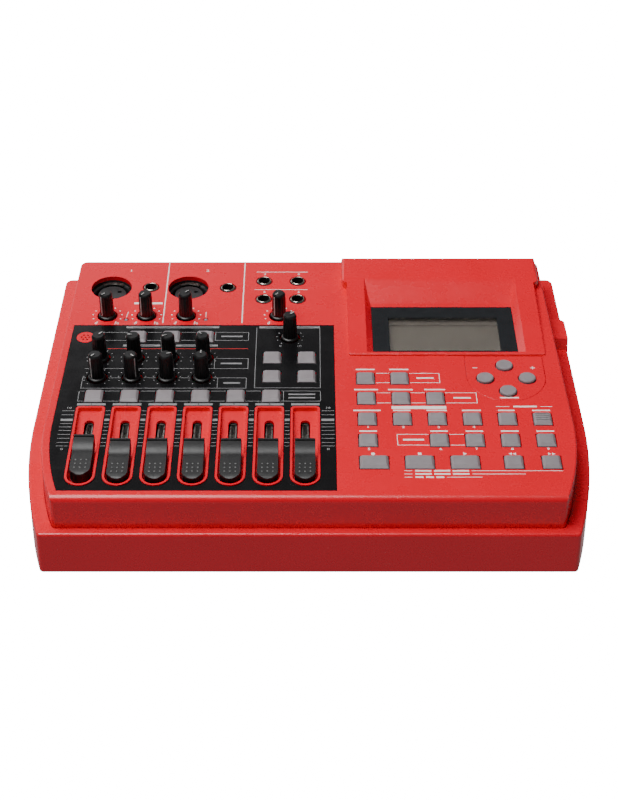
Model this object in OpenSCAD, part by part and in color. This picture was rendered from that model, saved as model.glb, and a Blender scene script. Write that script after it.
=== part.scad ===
// Digital multitrack recorder: a wide lower case with a ledge all round, a narrower sloping
// deck on it, seven faders, thirteen knobs, thirty-eight keys and a hooded display.
// Millimetres. The origin is on the table under the middle, +X to the right, +Y to the rear.
// Places on the deck are given as u to the right, v up the slope from the front lip and
// h square to the deck, with h = 0 on its surface.

/* [Lower case] */
// Greatest width of the lower case
body_w = 287.8; // [284:0.2:300]
// Depth of the lower case from its front face to its rear face
body_d = 219; // [217:1:228]
// How much narrower each side is at the rear than at the widest place
side_taper = 1.7; // [0:0.1:3]
// Distance of the widest place from the front face
widest_y = 81; // [70:1:95]
// Radius of the curve that draws the sides in towards the front
side_r = 270; // [250:5:320]
// Height of the front wall
front_h = 23; // [21:0.5:27]
// Slope of the ledge and of the deck
tilt = 7; // [5.5:0.1:8]
// Wall thickness of both cases
wall = 2.5; // [2:0.1:3]
// Rounding of the ledge's outer edge
ledge_round = 1.3; // [0.5:0.1:2]
// Radius of the front corners in plan
front_corner_r = 2.2; // [1:0.1:4]
// Radius of the rear corners in plan
rear_corner_r = 4; // [2:0.5:6]

/* [Deck] */
// Width of the ledge in front of the deck
front_ledge = 4.8; // [4.6:0.1:6]
// Width of the ledge behind the deck
rear_ledge = 9.4; // [8:0.1:11]
// Width of the ledge beside the deck at the rear
side_ledge = 11; // [10:0.1:12]
// Distance of the deck's widest place from its front wall
deck_widest_y = 54.2; // [48:0.2:62]
// How much narrower each side of the deck is at the rear than at its widest
deck_taper = 2.8; // [1.5:0.1:3.5]
// Radius of the curve that draws the deck's sides in towards the front
deck_side_r = 155; // [140:5:180]
// Height of the deck above the ledge, square to both
deck_step = 17.2; // [16:0.1:19]
// Radius of the lip along the deck's front edge
lip_r = 3.5; // [2:0.1:4]
// Rounding of the deck's side and rear edges
deck_round = 0.9; // [0.4:0.1:1.4]
// Gap between the deck's wall and the ledge that it comes up through
seam = 0.25; // [0.1:0.05:0.4]

/* [Mixer panel] */
// Thickness of the black panel that is let into the deck
panel_t = 1.0; // [0.6:0.1:1.4]
// Distance of the panel's side from the deck's side
panel_margin = 4.0; // [3:0.1:5]
// Where the panel starts, up the slope
panel_v0 = 2.9; // [2:0.1:4]
// Where the panel ends, up the slope
panel_v1 = 140.4; // [139:0.1:141]
// Distance between neighbouring fader columns
fader_pitch = 18.3; // [17.6:0.1:18.9]
// Distance of the first fader column from the deck's widest place
fader_inset = 22.3; // [22:0.1:24]
// How far the knobs and keys of a column stand to the right of its fader
column_shift = 0.6; // [0:0.1:1]

/* [Faders] */
// Travel of a fader
fader_travel = 30; // [24:1:32]
// How far the first fader has been pushed up
fader_raised = 3; // [0:0.5:10]
// Length of the well that a fader moves in
well_len = 61.8; // [60:0.1:63]
// Width of the well over its rim
well_w = 14.9; // [14.2:0.1:15.6]
// Width of the rim
rim_w = 1.2; // [0.8:0.1:1.5]
// Height of the rim above the panel
rim_h = 0.5; // [0.2:0.1:1]
// Depth of the well at its rear end
well_shallow = 1.6; // [1.5:0.1:2.5]
// Depth of the well at its front end
well_deep = 7.6; // [6.5:0.1:8]
// Width of the slot in the well's floor
slot_w = 4.8; // [4:0.1:5.4]
// Width of a fader cap
cap_w = 10.1; // [9.6:0.1:11.6]
// Length of a fader cap
cap_len = 26.6; // [24:0.1:28]
// Height of a fader cap's rear edge above the deck
cap_high = 6; // [5:0.1:7]

/* [Knobs] */
// Height of a knob above the deck
knob_h = 15.3; // [13:0.1:17]
// Diameter of a knob's body at the foot
knob_d = 7.7; // [7:0.1:8.2]
// Diameter of a knob's skirt
knob_skirt_d = 9.2; // [8.6:0.1:9.8]
// Diameter of the hole that a knob stands in
knob_hole_d = 11.2; // [10.6:0.1:11.8]
// Number of flutes round a knob
flutes = 16; // [12:1:20]
// Depth of a flute
flute_depth = 0.35; // [0.2:0.05:0.45]
// Diameter of a pot's spindle
spindle_d = 4; // [3:0.1:4.4]
// How far a pot turns to each side of its middle, in degrees
pot_turn = 140; // [130:5:150]

/* [Keys] */
// Width of a key
key_w = 9.2; // [8.8:0.1:9.6]
// Depth of a key, front to rear
key_l = 9.4; // [8.8:0.1:9.6]
// Width of the three wide transport keys
wide_key_w = 14.1; // [13.6:0.1:15]
// Diameter of a cursor key
round_key_d = 8.8; // [8.2:0.1:9.2]
// Height of a key above the deck
key_h = 1.2; // [1:0.1:1.6]
// Travel of a key
key_travel = 0.8; // [0.5:0.1:0.9]
// Gap round a key in its opening
key_gap = 0.5; // [0.3:0.05:0.5]
// Distance between neighbouring key columns
key_pitch = 17.8; // [17.4:0.1:18]
// Distance between neighbouring key rows
key_row = 17; // [16.6:0.05:17.4]
// Distance of the last key column from the deck's widest place
key_inset = 15.4; // [15:0.1:16.4]
// Place of the transport keys up the slope
transport_v = 23.9; // [22:0.1:25]

/* [Display] */
// Width of the hood
hood_w = 104.7; // [103:0.1:107]
// Width of the bar across the hood's rear
hood_bar_w = 111; // [108:0.5:111]
// Length of the hood up the slope
hood_len = 89.3; // [88:0.1:91]
// Height of the hood's front edge above the deck
hood_low = 1.0; // [0.8:0.1:1.6]
// Height of the hood's rear above the deck
hood_high = 5.0; // [4:0.1:6]
// Distance of the hood's side from the deck's widest place
hood_inset = 8.1; // [7.5:0.1:9]
// Width of the display window
window_w = 77.9; // [74:0.1:80]
// Length of the display window up the slope
window_l = 46.7; // [44:0.1:48]
// Thickness of the display window
window_t = 1.5; // [1:0.1:2]
// Depth of the window's face below the deck's surface
window_sink = 1.6; // [1.2:0.1:2.2]

/* [Sockets] */
// Diameter of the openings for the microphone sockets
xlr_d = 22.6; // [22:0.1:23]
// Depth of a microphone socket's face below the deck
xlr_sink = 4.4; // [4.2:0.1:5]
// Diameter of a jack's bushing
jack_d = 8.8; // [8.4:0.1:9.2]
// Diameter of a jack's bore
jack_bore_d = 6.4; // [6.3:0.05:6.5]
// Diameter of the deck's holes round the jacks
jack_hole_d = 9.4; // [9:0.1:10]
// Depth of a jack's bore
jack_depth = 26; // [24:0.5:27]

/* [Bottom] */
// Thickness of the bottom cover
plate_t = 2.5; // [2:0.1:3]
// Height of the rubber feet below the cover
foot_h = 1.8; // [1.4:0.1:2.6]
// Diameter of a rubber foot
foot_d = 16; // [12:0.5:18]
// Length of the battery bay, left to right
bay_w = 104; // [100:1:106]
// Depth of the battery bay, front to rear
bay_l = 46; // [44:1:48]
// Height of the battery bay inside
bay_h = 16; // [15:0.5:17]

/* [Hidden] */

red = "#d8302c";
key_grey = "#9b9896";
knob_black = "#1f1d20";
board_green = "#2f6b45";
metal = "#c9c6bf";
pot_blue = "#46586f";

// Facets of a round part by its size, and a size larger than the whole recorder
fine = 48;
round_fine = 32;
big = 600;
// Depth that a cut runs past a face so that no skin is left
past = 0.5;

// Outlines of the cases seen from above, each a list that case_outline reads:
// half width at the rear, half width at the widest, y of the widest place, side radius,
// y of the front, y of the rear, front corner radius, rear corner radius
front_y = -body_d / 2;
rear_y = body_d / 2;
plinth_half = body_w / 2;
plinth = [plinth_half - side_taper, plinth_half, front_y + widest_y, side_r,
          front_y, rear_y, front_corner_r, rear_corner_r];
deck_front_y = front_y + front_ledge;
deck_rear_y = rear_y - rear_ledge;
deck_half_rear = plinth_half - side_taper - side_ledge;
deck_half = deck_half_rear + deck_taper;
deck = [deck_half_rear, deck_half, deck_front_y + deck_widest_y, deck_side_r,
        deck_front_y, deck_rear_y, front_corner_r, rear_corner_r];

// The deck's own frame starts where the flat begins behind the lip
flat_start = 2.63;
deck_y0 = deck_front_y + flat_start;
ledge_z = foot_h + front_h;
deck_z0 = ledge_z + (deck_y0 - front_y) * tan(tilt) + deck_step / cos(tilt);
deck_len = (deck_rear_y - deck_y0) / cos(tilt);
ledge_drop = deck_step;
ledge_under = deck_step + wall;
flange_w = 1.9;
flange_t = 2;

// Bottom cover
cover_lip = 1.4;
cover_gap = 0.2;
cover_top = foot_h + plate_t;

// Boards below the deck
board_t = 1.6;
board_h = -19;
board_margin = 9.5;
board_v0 = 14;
board_v1 = deck_len - 46.7;
jack_board_h = -jack_depth - 1;
jack_board_v0 = board_v1 + 2;
jack_board_v1 = deck_len - 12.5;
post_r = 2.6;

// Columns and rows of the controls
left_edge = -deck_half;
right_edge = deck_half;
function fader_u(i) = left_edge + fader_inset + i * fader_pitch;
function column_u(i) = fader_u(i) + column_shift;
function key_u(i) = right_edge - key_inset - (5 - i) * key_pitch;
function key_v(row) = transport_v + row * key_row;
panel_u1 = column_u(6) + 14.9;
well_v0 = 6.4;
well_v1 = well_v0 + well_len;
rear_row_v = deck_len - 27;
trim_v = deck_len - 54.4;
send_v = 110.2;
pan_v = 93.2;
input_key_v = 129.2;
effect_time_v = 128.9;
record_select_v = 76.9;
effect_v = [93.7, 110.2];

// Microphone sockets and jacks, by place on the deck
xlr_u = [column_u(0) - 0.1, column_u(0) + 43.2];
jack_uv = [[column_u(0) + 22.1, rear_row_v + 0.4], [column_u(0) + 65.5, rear_row_v],
           [column_u(0) + 85.8, rear_row_v + 6.6], [column_u(0) + 104.7, rear_row_v + 6.6],
           [column_u(0) + 85.8, rear_row_v - 11.3], [column_u(0) + 104.7, rear_row_v - 11.3]];
jack_body = 13;
jack_board_u1 = column_u(0) + 115.1;
jack_proud = 0.7;
xlr_body_r = 11.9;
xlr_core_r = 7.85;
xlr_shell_r = 9.7;
xlr_ring_w = 0.8;
insert_fit = 0.05;
contact_ring_r = 4.6;
contact_r = 1.2;
contact_mouth = 1.4;

// Knobs: place on the deck and clockwise pointer angle as the photograph shows it
trim_a = [column_u(0) + 0.1, trim_v, -pot_turn];
gain = [column_u(0) + 21.6, trim_v, -pot_turn];
trim_b = [column_u(0) + 43.4, trim_v, 45];
phones = [column_u(0) + 94.6, trim_v, -pot_turn];
effect_time = [column_u(6) - 9, effect_time_v, 50];
send_angles = [40, -85, -110, -40];
pan_angles = [-pot_turn, pot_turn, 75, 0];
knobs = concat([trim_a, gain, trim_b, phones, effect_time],
               [for (i = [0:3]) [column_u(i), send_v, send_angles[i]]],
               [for (i = [0:3]) [column_u(i), pan_v, pan_angles[i]]]);

// Keys: lists of places on the deck
input_a_places = [for (i = [1:3]) [column_u(i), input_key_v]];
record_select_places = [for (i = [0:5]) [column_u(i), record_select_v]];
effect_places = [for (v = effect_v) for (i = [5:6]) [column_u(i), v]];
bounce_places = [for (i = [0:1]) [key_u(i), key_v(4)]];
mastering_places = [for (i = [0:2]) [key_u(i), key_v(3)]];
menu_places = [for (i = [0:5]) [key_u(i), key_v(2)]];
number_places = [for (i = [0, 2, 3, 4, 5]) [key_u(i), key_v(1)]];
wide_pitch = 22.4;
wide_places = [for (i = [0:2]) [key_u(0) + 2.5 + i * wide_pitch, transport_v]];
wind_places = [[key_u(4), transport_v], [key_u(5) + 0.8, transport_v]];
square_places = concat(input_a_places, record_select_places, effect_places, bounce_places,
                       mastering_places, menu_places, number_places, wind_places);

// Display hood
hood_u1 = right_edge - hood_inset;
hood_u0 = hood_u1 - hood_w;
hood_mid = (hood_u0 + hood_u1) / 2;
hood_v1 = deck_len - 2.2;
hood_v0 = hood_v1 - hood_len;
hood_corner_r = 1.2;
hood_bar_v = hood_v1 - 21.2;
hood_bar_mid = hood_mid + 0.25;
hood_end_l = 5;
hood_rail_h = hood_high - 0.3;
window_u0 = hood_mid - window_w / 2 - 0.2;
window_u1 = window_u0 + window_w;
window_v0 = hood_v0 + 2;
window_v1 = window_v0 + window_l;
rail_slope = 3.5;
cove_r = 14;
tray_wall = 1.6;
tray_floor = 1.4;
tray_u0 = window_u0 - rail_slope - tray_wall;
tray_u1 = window_u1 + rail_slope + tray_wall;
tray_v0 = window_v0 - 1.1;
tray_v1 = hood_bar_v + tray_wall;
tray_under = window_sink + window_t + tray_floor;
lcd_t = 5;
hood_gap = 0.25;

// Cursor keys, in an inlaid plate that ends in a half circle
cursor_u = key_u(4) + 2.5;
cursor_r = 11;
bezel_half = 20.8;
bezel_v1 = hood_v0 - 0.3;
cursor_v = bezel_v1 - 19.7;
bezel_mid_v = cursor_v + 1.5;
bezel_t = 1.2;
bezel_gap = 0.2;
cursor_places = [[cursor_u, cursor_v + cursor_r], [cursor_u - cursor_r, cursor_v],
                 [cursor_u + cursor_r, cursor_v], [cursor_u, cursor_v - cursor_r]];

// Keys below the deck: a collar that keeps the key in, and a stem down to its switch
collar_w = 0.9;
collar_t = 1;
collar_gap = 0.3;
stem_r = 1.5;
switch_h = 3.6;
plunger_h = 1.2;
stem_low = board_h + switch_h + plunger_h + key_travel + 0.3;

// Faders
lever_min_v = well_v0 + 16.1;
lever_l = 4;
lever_t = 1.2;
lever_low = board_h + 3;
lever_fit = 0.05;
slide_pot_w = 8.6;
slide_pot_front = 8;
slide_pot_rear = 19;
slide_pot_h = 8.2;
floor_t = 1.5;
floor_angle = atan((well_deep - well_shallow) / well_len);

// Knobs
pot_w = 9.8;
pot_h = 6.4;
bushing_r = 3.1;
bushing_top = -8;
spindle_fit = 0.05;

// Peak lamps and the built-in microphone
lamp_r = 1.25;
lamp_places = [[column_u(0) + 10.8, panel_v1 + 5.2], [column_u(0) + 54.5, panel_v1 + 5.2]];
mic_place = [column_u(0) - 9.8, 129];
mic_r = 4.8;
mic_capsule_r = 3;
mic_hole_r = 0.55;

// Screw columns that hold the three cases together, by x and y
column_r = 3.6;
column_x = deck_half - 22.5;
column_mid_x = column_u(6) + 17;
column_front_y = deck_front_y + 8.6;
column_rear_y = deck_rear_y - 4.6;
columns = [for (x = [-column_x, column_mid_x, column_x]) for (y = [column_front_y, column_rear_y]) [x, y]];
screw_r = 1.15;
screw_fit = 0.02;
screw_head_r = 2.7;
screw_head_t = 1.5;
screw_len = 8;
foot_x = plinth_half - 19.9;
foot_y = rear_y - 17.5;

// Posts that carry the panel board, by place on the deck
post_places = [[left_edge + 12.5, 30], [left_edge + 12.5, 110], [column_u(5) - 9.2, 101.5],
               [panel_u1 + 6.4, 30], [panel_u1 + 6.4, 101], [key_u(3) - key_pitch / 2, key_v(1.5)],
               [key_u(5) - key_pitch / 2, key_v(1.5)]];

// Battery bay and door in the bottom cover
bay_x = -48;
bay_y = rear_y - 49.5;
bay_wall = 1.6;
door_gap = 0.3;
door_rim = 2.2;
door_t = 1.8;
door_slide = 3.5;
door_tongue_w = 8;
door_tongue_l = 2.4;
door_tongue_x = bay_w / 4;

// Main board, on pillars of the bottom cover
main_z = cover_top + 4;
main_front_y = front_y + 18;
main_rear_y = rear_y - 8;
main_split_y = bay_y - bay_l / 2 - 8;
main_half = plinth_half - 17.9;
main_step_x = bay_x + bay_w / 2 + 14;
pillar_r = 3;
pillars = [[-main_half + 8, main_front_y + 12], [main_half - 14, main_front_y + 12],
           [-main_half + 8, main_split_y - 8], [main_step_x + 8, main_rear_y - 22],
           [main_half - 26, main_front_y + 60]];
// Chips on the main board: place, width and length
chips = [[-main_half + 66, main_front_y + 61.5, 28, 28],
         [-main_half + 116, main_front_y + 71.5, 20, 14],
         [main_half - 96, main_front_y + 51.5, 16, 16],
         [main_half - 66, main_front_y + 91.5, 24, 10],
         [-main_half + 26, main_front_y + 41.5, 10, 18]];

// Card socket at the right wall, under the raised guard on the ledge
card_y = rear_y - 66.5;
card_slot_w = 43.6;
card_slot_h = 5;
card_socket_w = 48;
card_socket_h = 8.4;
card_socket_l = 38;
card_slot_z = main_z + board_t + 1.6;
guard_v0 = deck_len - 62.9;
guard_v1 = guard_v0 + 20.6;
guard_h = 6.2;
guard_r = 4;
guard_slope = 2.3;

// Rear sockets in a bay let into the rear wall
bay_depth = 2.5;
bay_z0 = main_z - 1.5;
bay_z1 = main_z + 16.5;
bay_x1 = plinth_half - 4.9;
bay_x0 = bay_x1 - 113;
socket_z = main_z + board_t;
socket_face_y = rear_y - bay_depth;
socket_depth = 14;
power_x = bay_x1 - 9;
power_travel = 4;
dc_x = power_x - 33;
dc_r = 2.9;
usb_x = dc_x - 20;
optical_x = usb_x - 20;
foot_jack_x = optical_x - 19;
select_travel = 3;
select_u = column_u(0) + 23;
select_z = deck_z0 + deck_len * sin(tilt) - 9.5;

// A place on the deck, seen in the recorder's own frame
module on_deck() {
    translate([0, deck_y0, deck_z0]) rotate([tilt, 0, 0]) children();
}

// Everything more than drop below the deck's surface
module below_deck(drop) {
    on_deck() translate([-big / 2, -big / 2, -drop - big]) cube(big);
}

// Points of one side of a case, from the front corner to the rear corner, drawn in by d
function case_side(c, d) =
    let (cx = c[1] - c[3],
         r = c[3] - d,
         rf = max(c[6] - d, 0.4),
         rr = max(c[7] - d, 0.4),
         fy = c[4] + d + rf,
         fx = cx + sqrt((r - rf) * (r - rf) - (fy - c[2]) * (fy - c[2])),
         turn = atan2(fy - c[2], fx - cx))
    concat([for (i = [0:4]) let (a = -90 + (turn + 90) * i / 4) [fx + rf * cos(a), fy + rf * sin(a)]],
           [for (i = [1:12]) let (a = turn * (12 - i) / 12) [cx + r * cos(a), c[2] + r * sin(a)]],
           [for (i = [0:4]) let (a = 90 * i / 4)
               [c[0] - d - rr + rr * cos(a), c[5] - d - rr + rr * sin(a)]]);

// The whole outline of a case, drawn in by d
function case_outline(c, d) =
    let (side = case_side(c, d), last = len(side) - 1)
    concat(side, [for (i = [last:-1:0]) [-side[i][0], side[i][1]]]);

// A case's outline raised from z0 up to the plane that lies drop below the deck
module case_block(c, d, drop, z0) {
    intersection() {
        translate([0, 0, z0]) linear_extrude(height = big / 4) polygon(case_outline(c, d));
        below_deck(drop);
    }
}

// The same with its top edge rounded
module rounded_case_block(c, drop, r, z0) {
    hull() {
        for (a = [0, 30, 60, 90]) case_block(c, r * (1 - cos(a)), drop + r * (1 - sin(a)), z0);
    }
}

// A block between two heights over the deck, centred on u and v
module deck_box(u, v, w, l, h0, h1) {
    translate([u - w / 2, v - l / 2, h0]) cube([w, l, h1 - h0]);
}

// A round bar between two heights over the deck
module deck_rod(u, v, r, h0, h1, n = fine) {
    translate([u, v, h0]) cylinder(r = r, h = h1 - h0, $fn = n);
}

// A rectangle with rounded corners
module rounded_square(w, l, r) {
    square([w - 2 * r, l], center = true);
    square([w, l - 2 * r], center = true);
    for (x = [-1, 1]) for (y = [-1, 1])
        translate([x * (w / 2 - r), y * (l / 2 - r)]) circle(r = r, $fn = round_fine);
}

// The fader well seen from above: square at the rear, half round at the front, drawn in by d
module well_plan(d) {
    r = well_w / 2 - d;
    corner = 2 - d / 2;
    translate([0, well_v0 + well_w / 2]) circle(r = r, $fn = fine);
    translate([-r, well_v0 + well_w / 2]) square([2 * r, well_len - well_w / 2 - d - corner]);
    translate([-r + corner, well_v1 - d - 2 * corner]) square([2 * r - 2 * corner, 2 * corner]);
    for (x = [-1, 1])
        translate([x * (r - corner), well_v1 - d - corner]) circle(r = corner, $fn = round_fine);
}

// Everything above the well's sloping floor, lowered by drop
module above_well_floor(drop) {
    translate([0, well_v1, -well_shallow - drop]) rotate([floor_angle, 0, 0])
        translate([-big / 2, -big / 2, 0]) cube(big);
}

// The tub that hangs below the deck and holds one fader
module well_tub() {
    intersection() {
        translate([0, 0, -well_deep - 2 * floor_t]) linear_extrude(height = well_deep + 2 * floor_t)
            well_plan(0);
        above_well_floor(floor_t);
    }
}

// What is cut out of a tub: the well itself and the slot for the lever
module well_hollow() {
    intersection() {
        translate([0, 0, -well_deep - floor_t]) linear_extrude(height = well_deep + floor_t + 2)
            well_plan(rim_w);
        above_well_floor(0);
    }
    hull_free_slot(slot_w / 2, lever_min_v - lever_l, lever_min_v + fader_travel + 7.5);
}

// A slot with round ends right through the floor
module hull_free_slot(r, v0, v1) {
    h0 = -well_deep - 2 * floor_t;
    h1 = -well_shallow + past;
    deck_box(0, (v0 + v1) / 2, 2 * r, v1 - v0 - 2 * r, h0, h1);
    deck_rod(0, v0 + r, r, h0, h1, round_fine);
    deck_rod(0, v1 - r, r, h0, h1, round_fine);
}

// The panel's outline seen from above, in the recorder's frame, drawn in by d
module panel_block(d, h0, h1) {
    intersection() {
        translate([0, 0, 0]) linear_extrude(height = big / 4)
            polygon(case_outline(deck, panel_margin + d));
        on_deck() translate([-big / 2, panel_v0 + d, h0])
            cube([big / 2 + panel_u1 - d, panel_v1 - panel_v0 - 2 * d, h1 - h0]);
    }
}

// Cuts for the keys, the knobs and the round keys, with a margin round each
module key_cuts(h0, h1) {
    for (p = square_places)
        deck_box(p[0], p[1], key_w + 2 * key_gap, key_l + 2 * key_gap, h0, h1);
    for (p = wide_places)
        deck_box(p[0], p[1], wide_key_w + 2 * key_gap, key_l + 2 * key_gap, h0, h1);
}

module cursor_cuts(h0, h1) {
    for (p = cursor_places) deck_rod(p[0], p[1], round_key_d / 2 + key_gap, h0, h1);
}

module knob_cuts(h0, h1) {
    for (k = knobs) deck_rod(k[0], k[1], knob_hole_d / 2, h0, h1);
}

// The cursor plate seen from above
module bezel_plan(d) {
    intersection() {
        translate([cursor_u, bezel_mid_v]) circle(r = bezel_half - d, $fn = 96);
        translate([cursor_u - bezel_half, bezel_mid_v - bezel_half])
            square([2 * bezel_half, bezel_half + 1]);
    }
    translate([cursor_u - bezel_half + d, bezel_mid_v])
        square([2 * (bezel_half - d), bezel_v1 - bezel_mid_v - d]);
}

// The round lip along the deck's front edge, as a cut
module lip_cut() {
    yc = deck_front_y + lip_r;
    zc = deck_z0 + (yc - deck_y0) * tan(tilt) - lip_r / cos(tilt);
    difference() {
        translate([-big / 2, deck_front_y - 2, zc])
            cube([big, lip_r + 2 - lip_r * sin(tilt), 2 * lip_r]);
        translate([-big / 2, yc, zc]) rotate([0, 90, 0]) cylinder(r = lip_r, h = big, $fn = 96);
    }
}

// Screw column from the deck down to the bottom cover
module screw_column(p) {
    translate([p[0], p[1], cover_top]) cylinder(r = column_r, h = big / 8, $fn = fine);
}

module screw_column_bore(p) {
    translate([p[0], p[1], cover_top - past])
        cylinder(r = screw_r + screw_fit, h = screw_len + 2, $fn = round_fine);
}

module deck_shell() {
    difference() {
        rounded_case_block(deck, 0, deck_round, 0);
        case_block(deck, wall, wall, -past);
        below_deck(ledge_under + flange_t);
    }
    // Flange that bears against the underside of the ledge
    difference() {
        case_block(deck, -flange_w, ledge_under, 0);
        case_block(deck, wall, ledge_under - 1, -past);
        below_deck(ledge_under + flange_t);
    }
    intersection() {
        for (p = columns) screw_column(p);
        below_deck(wall - 0.1);
    }
    on_deck() {
        for (i = [0:6]) translate([fader_u(i), 0, 0]) well_tub();
        for (p = post_places) deck_rod(p[0], p[1], post_r, board_h, -wall + 0.1, round_fine);
        deck_rod(mic_place[0], mic_place[1], mic_capsule_r + 1.3, -wall - 4, -wall + 0.1);
    }
}

module upper_case() {
    color(red) difference() {
        deck_shell();
        lip_cut();
        // Recess for the mixer panel, round the rims of the wells and the microphone's grille
        difference() {
            panel_block(0, -panel_t, 2);
            on_deck() {
                for (i = [0:6]) translate([fader_u(i), 0, -2])
                    linear_extrude(height = 4) well_plan(0);
                deck_rod(mic_place[0], mic_place[1], mic_r, -2, 3);
            }
        }
        on_deck() {
            for (i = [0:6]) translate([fader_u(i), 0, 0]) well_hollow();
            key_cuts(-wall - past, 2);
            cursor_cuts(-wall - past, 2);
            knob_cuts(-wall - past, 2);
            translate([0, 0, -bezel_t]) linear_extrude(height = 4) bezel_plan(0);
            // Opening under the hood
            translate([tray_u0 - hood_gap, tray_v0 - hood_gap, -wall - past])
                cube([tray_u1 - tray_u0 + 2 * hood_gap, tray_v1 - tray_v0 + 2 * hood_gap, wall + 2]);
            for (u = xlr_u) deck_rod(u, rear_row_v, xlr_d / 2, -wall - past, 2);
            for (p = jack_uv) deck_rod(p[0], p[1], jack_hole_d / 2, -wall - past, 2);
            for (p = lamp_places) deck_rod(p[0], p[1], lamp_r + 0.1, -wall - past, 2, round_fine);
            // Sound holes and the cup for the microphone
            deck_rod(mic_place[0], mic_place[1], mic_capsule_r + 0.1, -wall - 5, -wall + 0.6);
            for (i = [0:6]) let (s = i == 0 ? 0 : 2.1, a = i * 60)
                deck_rod(mic_place[0] + s * cos(a), mic_place[1] + s * sin(a), mic_hole_r,
                         -wall - past, 1, 24);
            for (p = post_places) deck_rod(p[0], p[1], screw_r + screw_fit, board_h - past, -wall - 4, round_fine);
        }
        for (p = columns) screw_column_bore(p);
        // Slot in the rear wall for the input select switch
        translate([select_u - select_travel / 2 - 2.4, deck_rear_y - wall - 1, select_z - 1.9])
            cube([select_travel + 4.8, wall + 2, 3.8]);
    }
    // Raised rims of the fader wells
    color(red) on_deck() for (i = [0:6]) translate([fader_u(i), 0, -0.1]) difference() {
        linear_extrude(height = rim_h + 0.1) well_plan(0);
        translate([0, 0, -1]) linear_extrude(height = 3) well_plan(rim_w);
    }
}

// Raised guard on the right ledge
module card_guard() {
    u1 = plinth_half;
    u0 = deck_half_rear - 2;
    intersection() {
        translate([0, 0, ledge_z]) linear_extrude(height = big / 8) polygon(case_outline(plinth, 0));
        on_deck() translate([0, 0, -ledge_drop - 1]) difference() {
            linear_extrude(height = guard_h + 1) union() {
                translate([u0, guard_v0]) square([u1 - u0 + 5, guard_v1 - guard_v0 - guard_r]);
                translate([u0, guard_v0])
                    square([plinth_half - side_taper / 2 - guard_r - u0, guard_v1 - guard_v0]);
                translate([plinth_half - side_taper / 2 - guard_r, guard_v1 - guard_r])
                    circle(r = guard_r, $fn = fine);
            }
            // The front of the guard leans back
            translate([u0 - 1, guard_v0, 1]) rotate([-atan(guard_slope / guard_h), 0, 0])
                translate([0, -20, -3]) cube([40, 20, 20]);
        }
    }
}

module lower_case() {
    color(red) difference() {
        union() {
            difference() {
                rounded_case_block(plinth, ledge_drop, ledge_round, foot_h);
                case_block(plinth, wall, ledge_under, foot_h - past);
            }
            card_guard();
            // Wall of the bay that the rear sockets sit in
            translate([bay_x0 - wall, socket_face_y - wall, bay_z0 - wall])
                cube([bay_x1 - bay_x0 + 2 * wall, wall + bay_depth - 0.1, bay_z1 - bay_z0 + 2 * wall]);
        }
        // Rebate for the bottom cover
        translate([0, 0, foot_h - past]) linear_extrude(height = plate_t + past)
            polygon(case_outline(plinth, cover_lip));
        // Opening that the deck comes up through
        translate([0, 0, cover_top]) linear_extrude(height = big / 4)
            polygon(case_outline(deck, -seam));
        // Rear bay and the holes for its sockets
        translate([bay_x0, socket_face_y, bay_z0])
            cube([bay_x1 - bay_x0, bay_depth + 1, bay_z1 - bay_z0]);
        rear_socket_cuts();
        // Card slot
        translate([plinth_half - 8, card_y - card_slot_w / 2, card_slot_z])
            cube([12, card_slot_w, card_slot_h]);
    }
}

// Openings in the bay's wall, a little larger than what looks through them
module rear_socket_cuts() {
    y0 = socket_face_y - wall - 1;
    translate([power_x - power_travel / 2 - 2.6, y0, socket_z + 2.7])
        cube([power_travel + 5.2, wall + 2, 4.6]);
    translate([dc_x, y0, socket_z + 5]) rotate([-90, 0, 0])
        cylinder(r = 4.2, h = wall + 2, $fn = fine);
    translate([usb_x - 6.2, y0, socket_z - 0.2]) cube([12.4, wall + 2, 11.2]);
    translate([optical_x - 5.2, y0, socket_z - 0.2]) cube([10.4, wall + 2, 10.4]);
    translate([foot_jack_x, y0, socket_z + 6.5]) rotate([-90, 0, 0])
        cylinder(r = 4.9, h = wall + 2, $fn = fine);
}

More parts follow.
